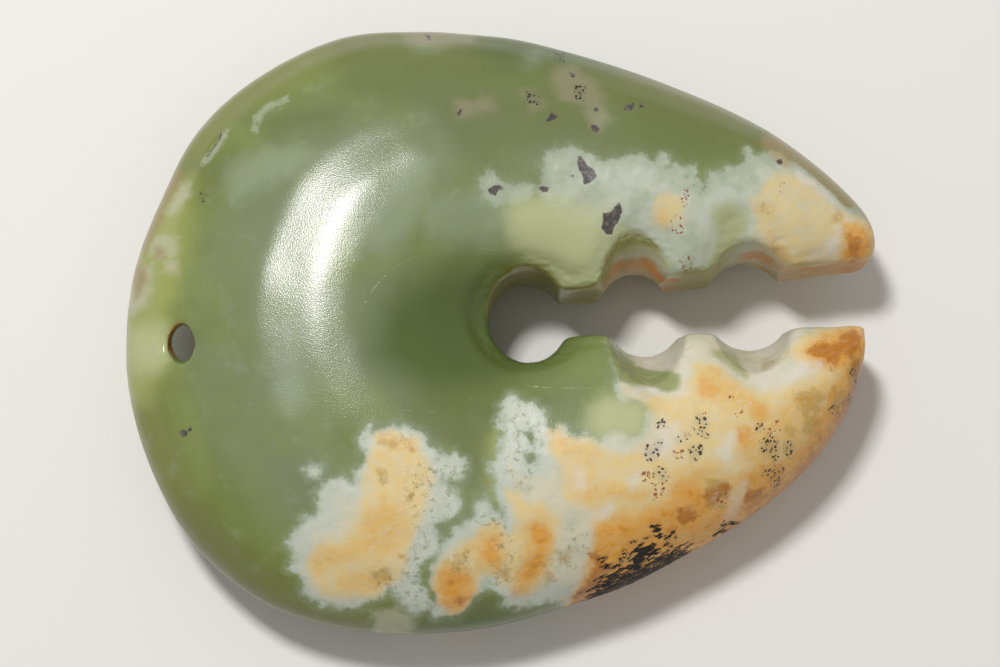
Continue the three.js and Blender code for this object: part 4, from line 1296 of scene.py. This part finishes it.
class PENDANT_OT_stage(bpy.types.Operator):
    """Lay the pale floor, hang the lamp and set up the camera"""

    bl_idname = "pendant.make_stage"
    bl_label = "Make the stage"

    def execute(self, context):
        stage = context.scene.stage_settings
        bpy.ops.object.select_all(action="DESELECT")
        bpy.ops.mesh.primitive_plane_add(size=FLOOR_SIZE, location=(0, 0, 0))
        floor = context.active_object
        floor.name = "pale_floor"
        material = bpy.data.materials.new("pale_floor")
        material.use_nodes = True
        surface = material.node_tree.nodes["Principled BSDF"]
        surface.inputs["Base Color"].default_value = (*stage.floor, 1)
        surface.inputs["Roughness"].default_value = 0.8
        floor.data.materials.append(material)

        world = bpy.data.worlds.new("studio")
        world.use_nodes = True
        background = world.node_tree.nodes["Background"]
        background.inputs["Color"].default_value = (1, 1, 1, 1)
        background.inputs["Strength"].default_value = stage.fill
        context.scene.world = world

        self.key_lamp(stage.key_power)

        back = Vector((0, -math.cos(stage.elevation), math.sin(stage.elevation)))
        place = Vector([length * MM for length in AIM]) + back * stage.distance
        turn = back.to_track_quat("Z", "Y").to_euler()
        bpy.ops.object.camera_add(location=place, rotation=turn)
        camera = context.active_object
        camera.name = "camera"
        camera.data.lens = stage.lens
        camera.data.clip_start = 0.01
        context.scene.camera = camera
        context.scene.view_settings.view_transform = "Standard"
        return {"FINISHED"}

    def key_lamp(self, power):
        """A rectangular soft lamp that faces the stone."""
        a, e = math.radians(KEY_AZIMUTH), math.radians(KEY_ELEVATION)
        back = Vector((math.cos(a) * math.cos(e), math.sin(a) * math.cos(e), math.sin(e)))
        roll = Quaternion((0, 0, 1), math.radians(KEY_ROLL))
        turn = (back.to_track_quat("Z", "Y") @ roll).to_euler()
        bpy.ops.object.light_add(type="AREA", location=back * KEY_DISTANCE, rotation=turn)
        lamp = bpy.context.active_object
        lamp.name = "key_lamp"
        lamp.data.shape = "RECTANGLE"
        lamp.data.size, lamp.data.size_y = KEY_SIZE
        lamp.data.energy = power


class PENDANT_PT_panel(bpy.types.Panel):
    """Sizes, colours and the steps that make the pendant"""

    bl_label = "Jade pendant"
    bl_space_type = "VIEW_3D"
    bl_region_type = "UI"
    bl_category = "Pendant"

    def draw(self, context):
        scene = context.scene
        for group in (scene.carving_sizes, scene.jade_colours, scene.stage_settings):
            box = self.layout.box()
            for name in group.__annotations__:
                box.prop(group, name)
        self.layout.operator(PENDANT_OT_stone.bl_idname)
        self.layout.operator(PENDANT_OT_stage.bl_idname)


CLASSES = (
    CarvingSizes,
    JadeColours,
    StageSettings,
    PENDANT_OT_stone,
    PENDANT_OT_stage,
    PENDANT_PT_panel,
)


def register():
    """Adds the settings, the operators and the panel."""
    for each in CLASSES:
        bpy.utils.register_class(each)
    scene = bpy.types.Scene
    scene.carving_sizes = bpy.props.PointerProperty(type=CarvingSizes)
    scene.jade_colours = bpy.props.PointerProperty(type=JadeColours)
    scene.stage_settings = bpy.props.PointerProperty(type=StageSettings)


def unregister():
    """Takes them away again."""
    del bpy.types.Scene.carving_sizes
    del bpy.types.Scene.jade_colours
    del bpy.types.Scene.stage_settings
    for each in reversed(CLASSES):
        bpy.utils.unregister_class(each)


def main():
    """Makes the pendant and its stage."""
    register()
    bpy.ops.pendant.make_stone()
    bpy.ops.pendant.make_stage()


if __name__ == "__main__":
    main()
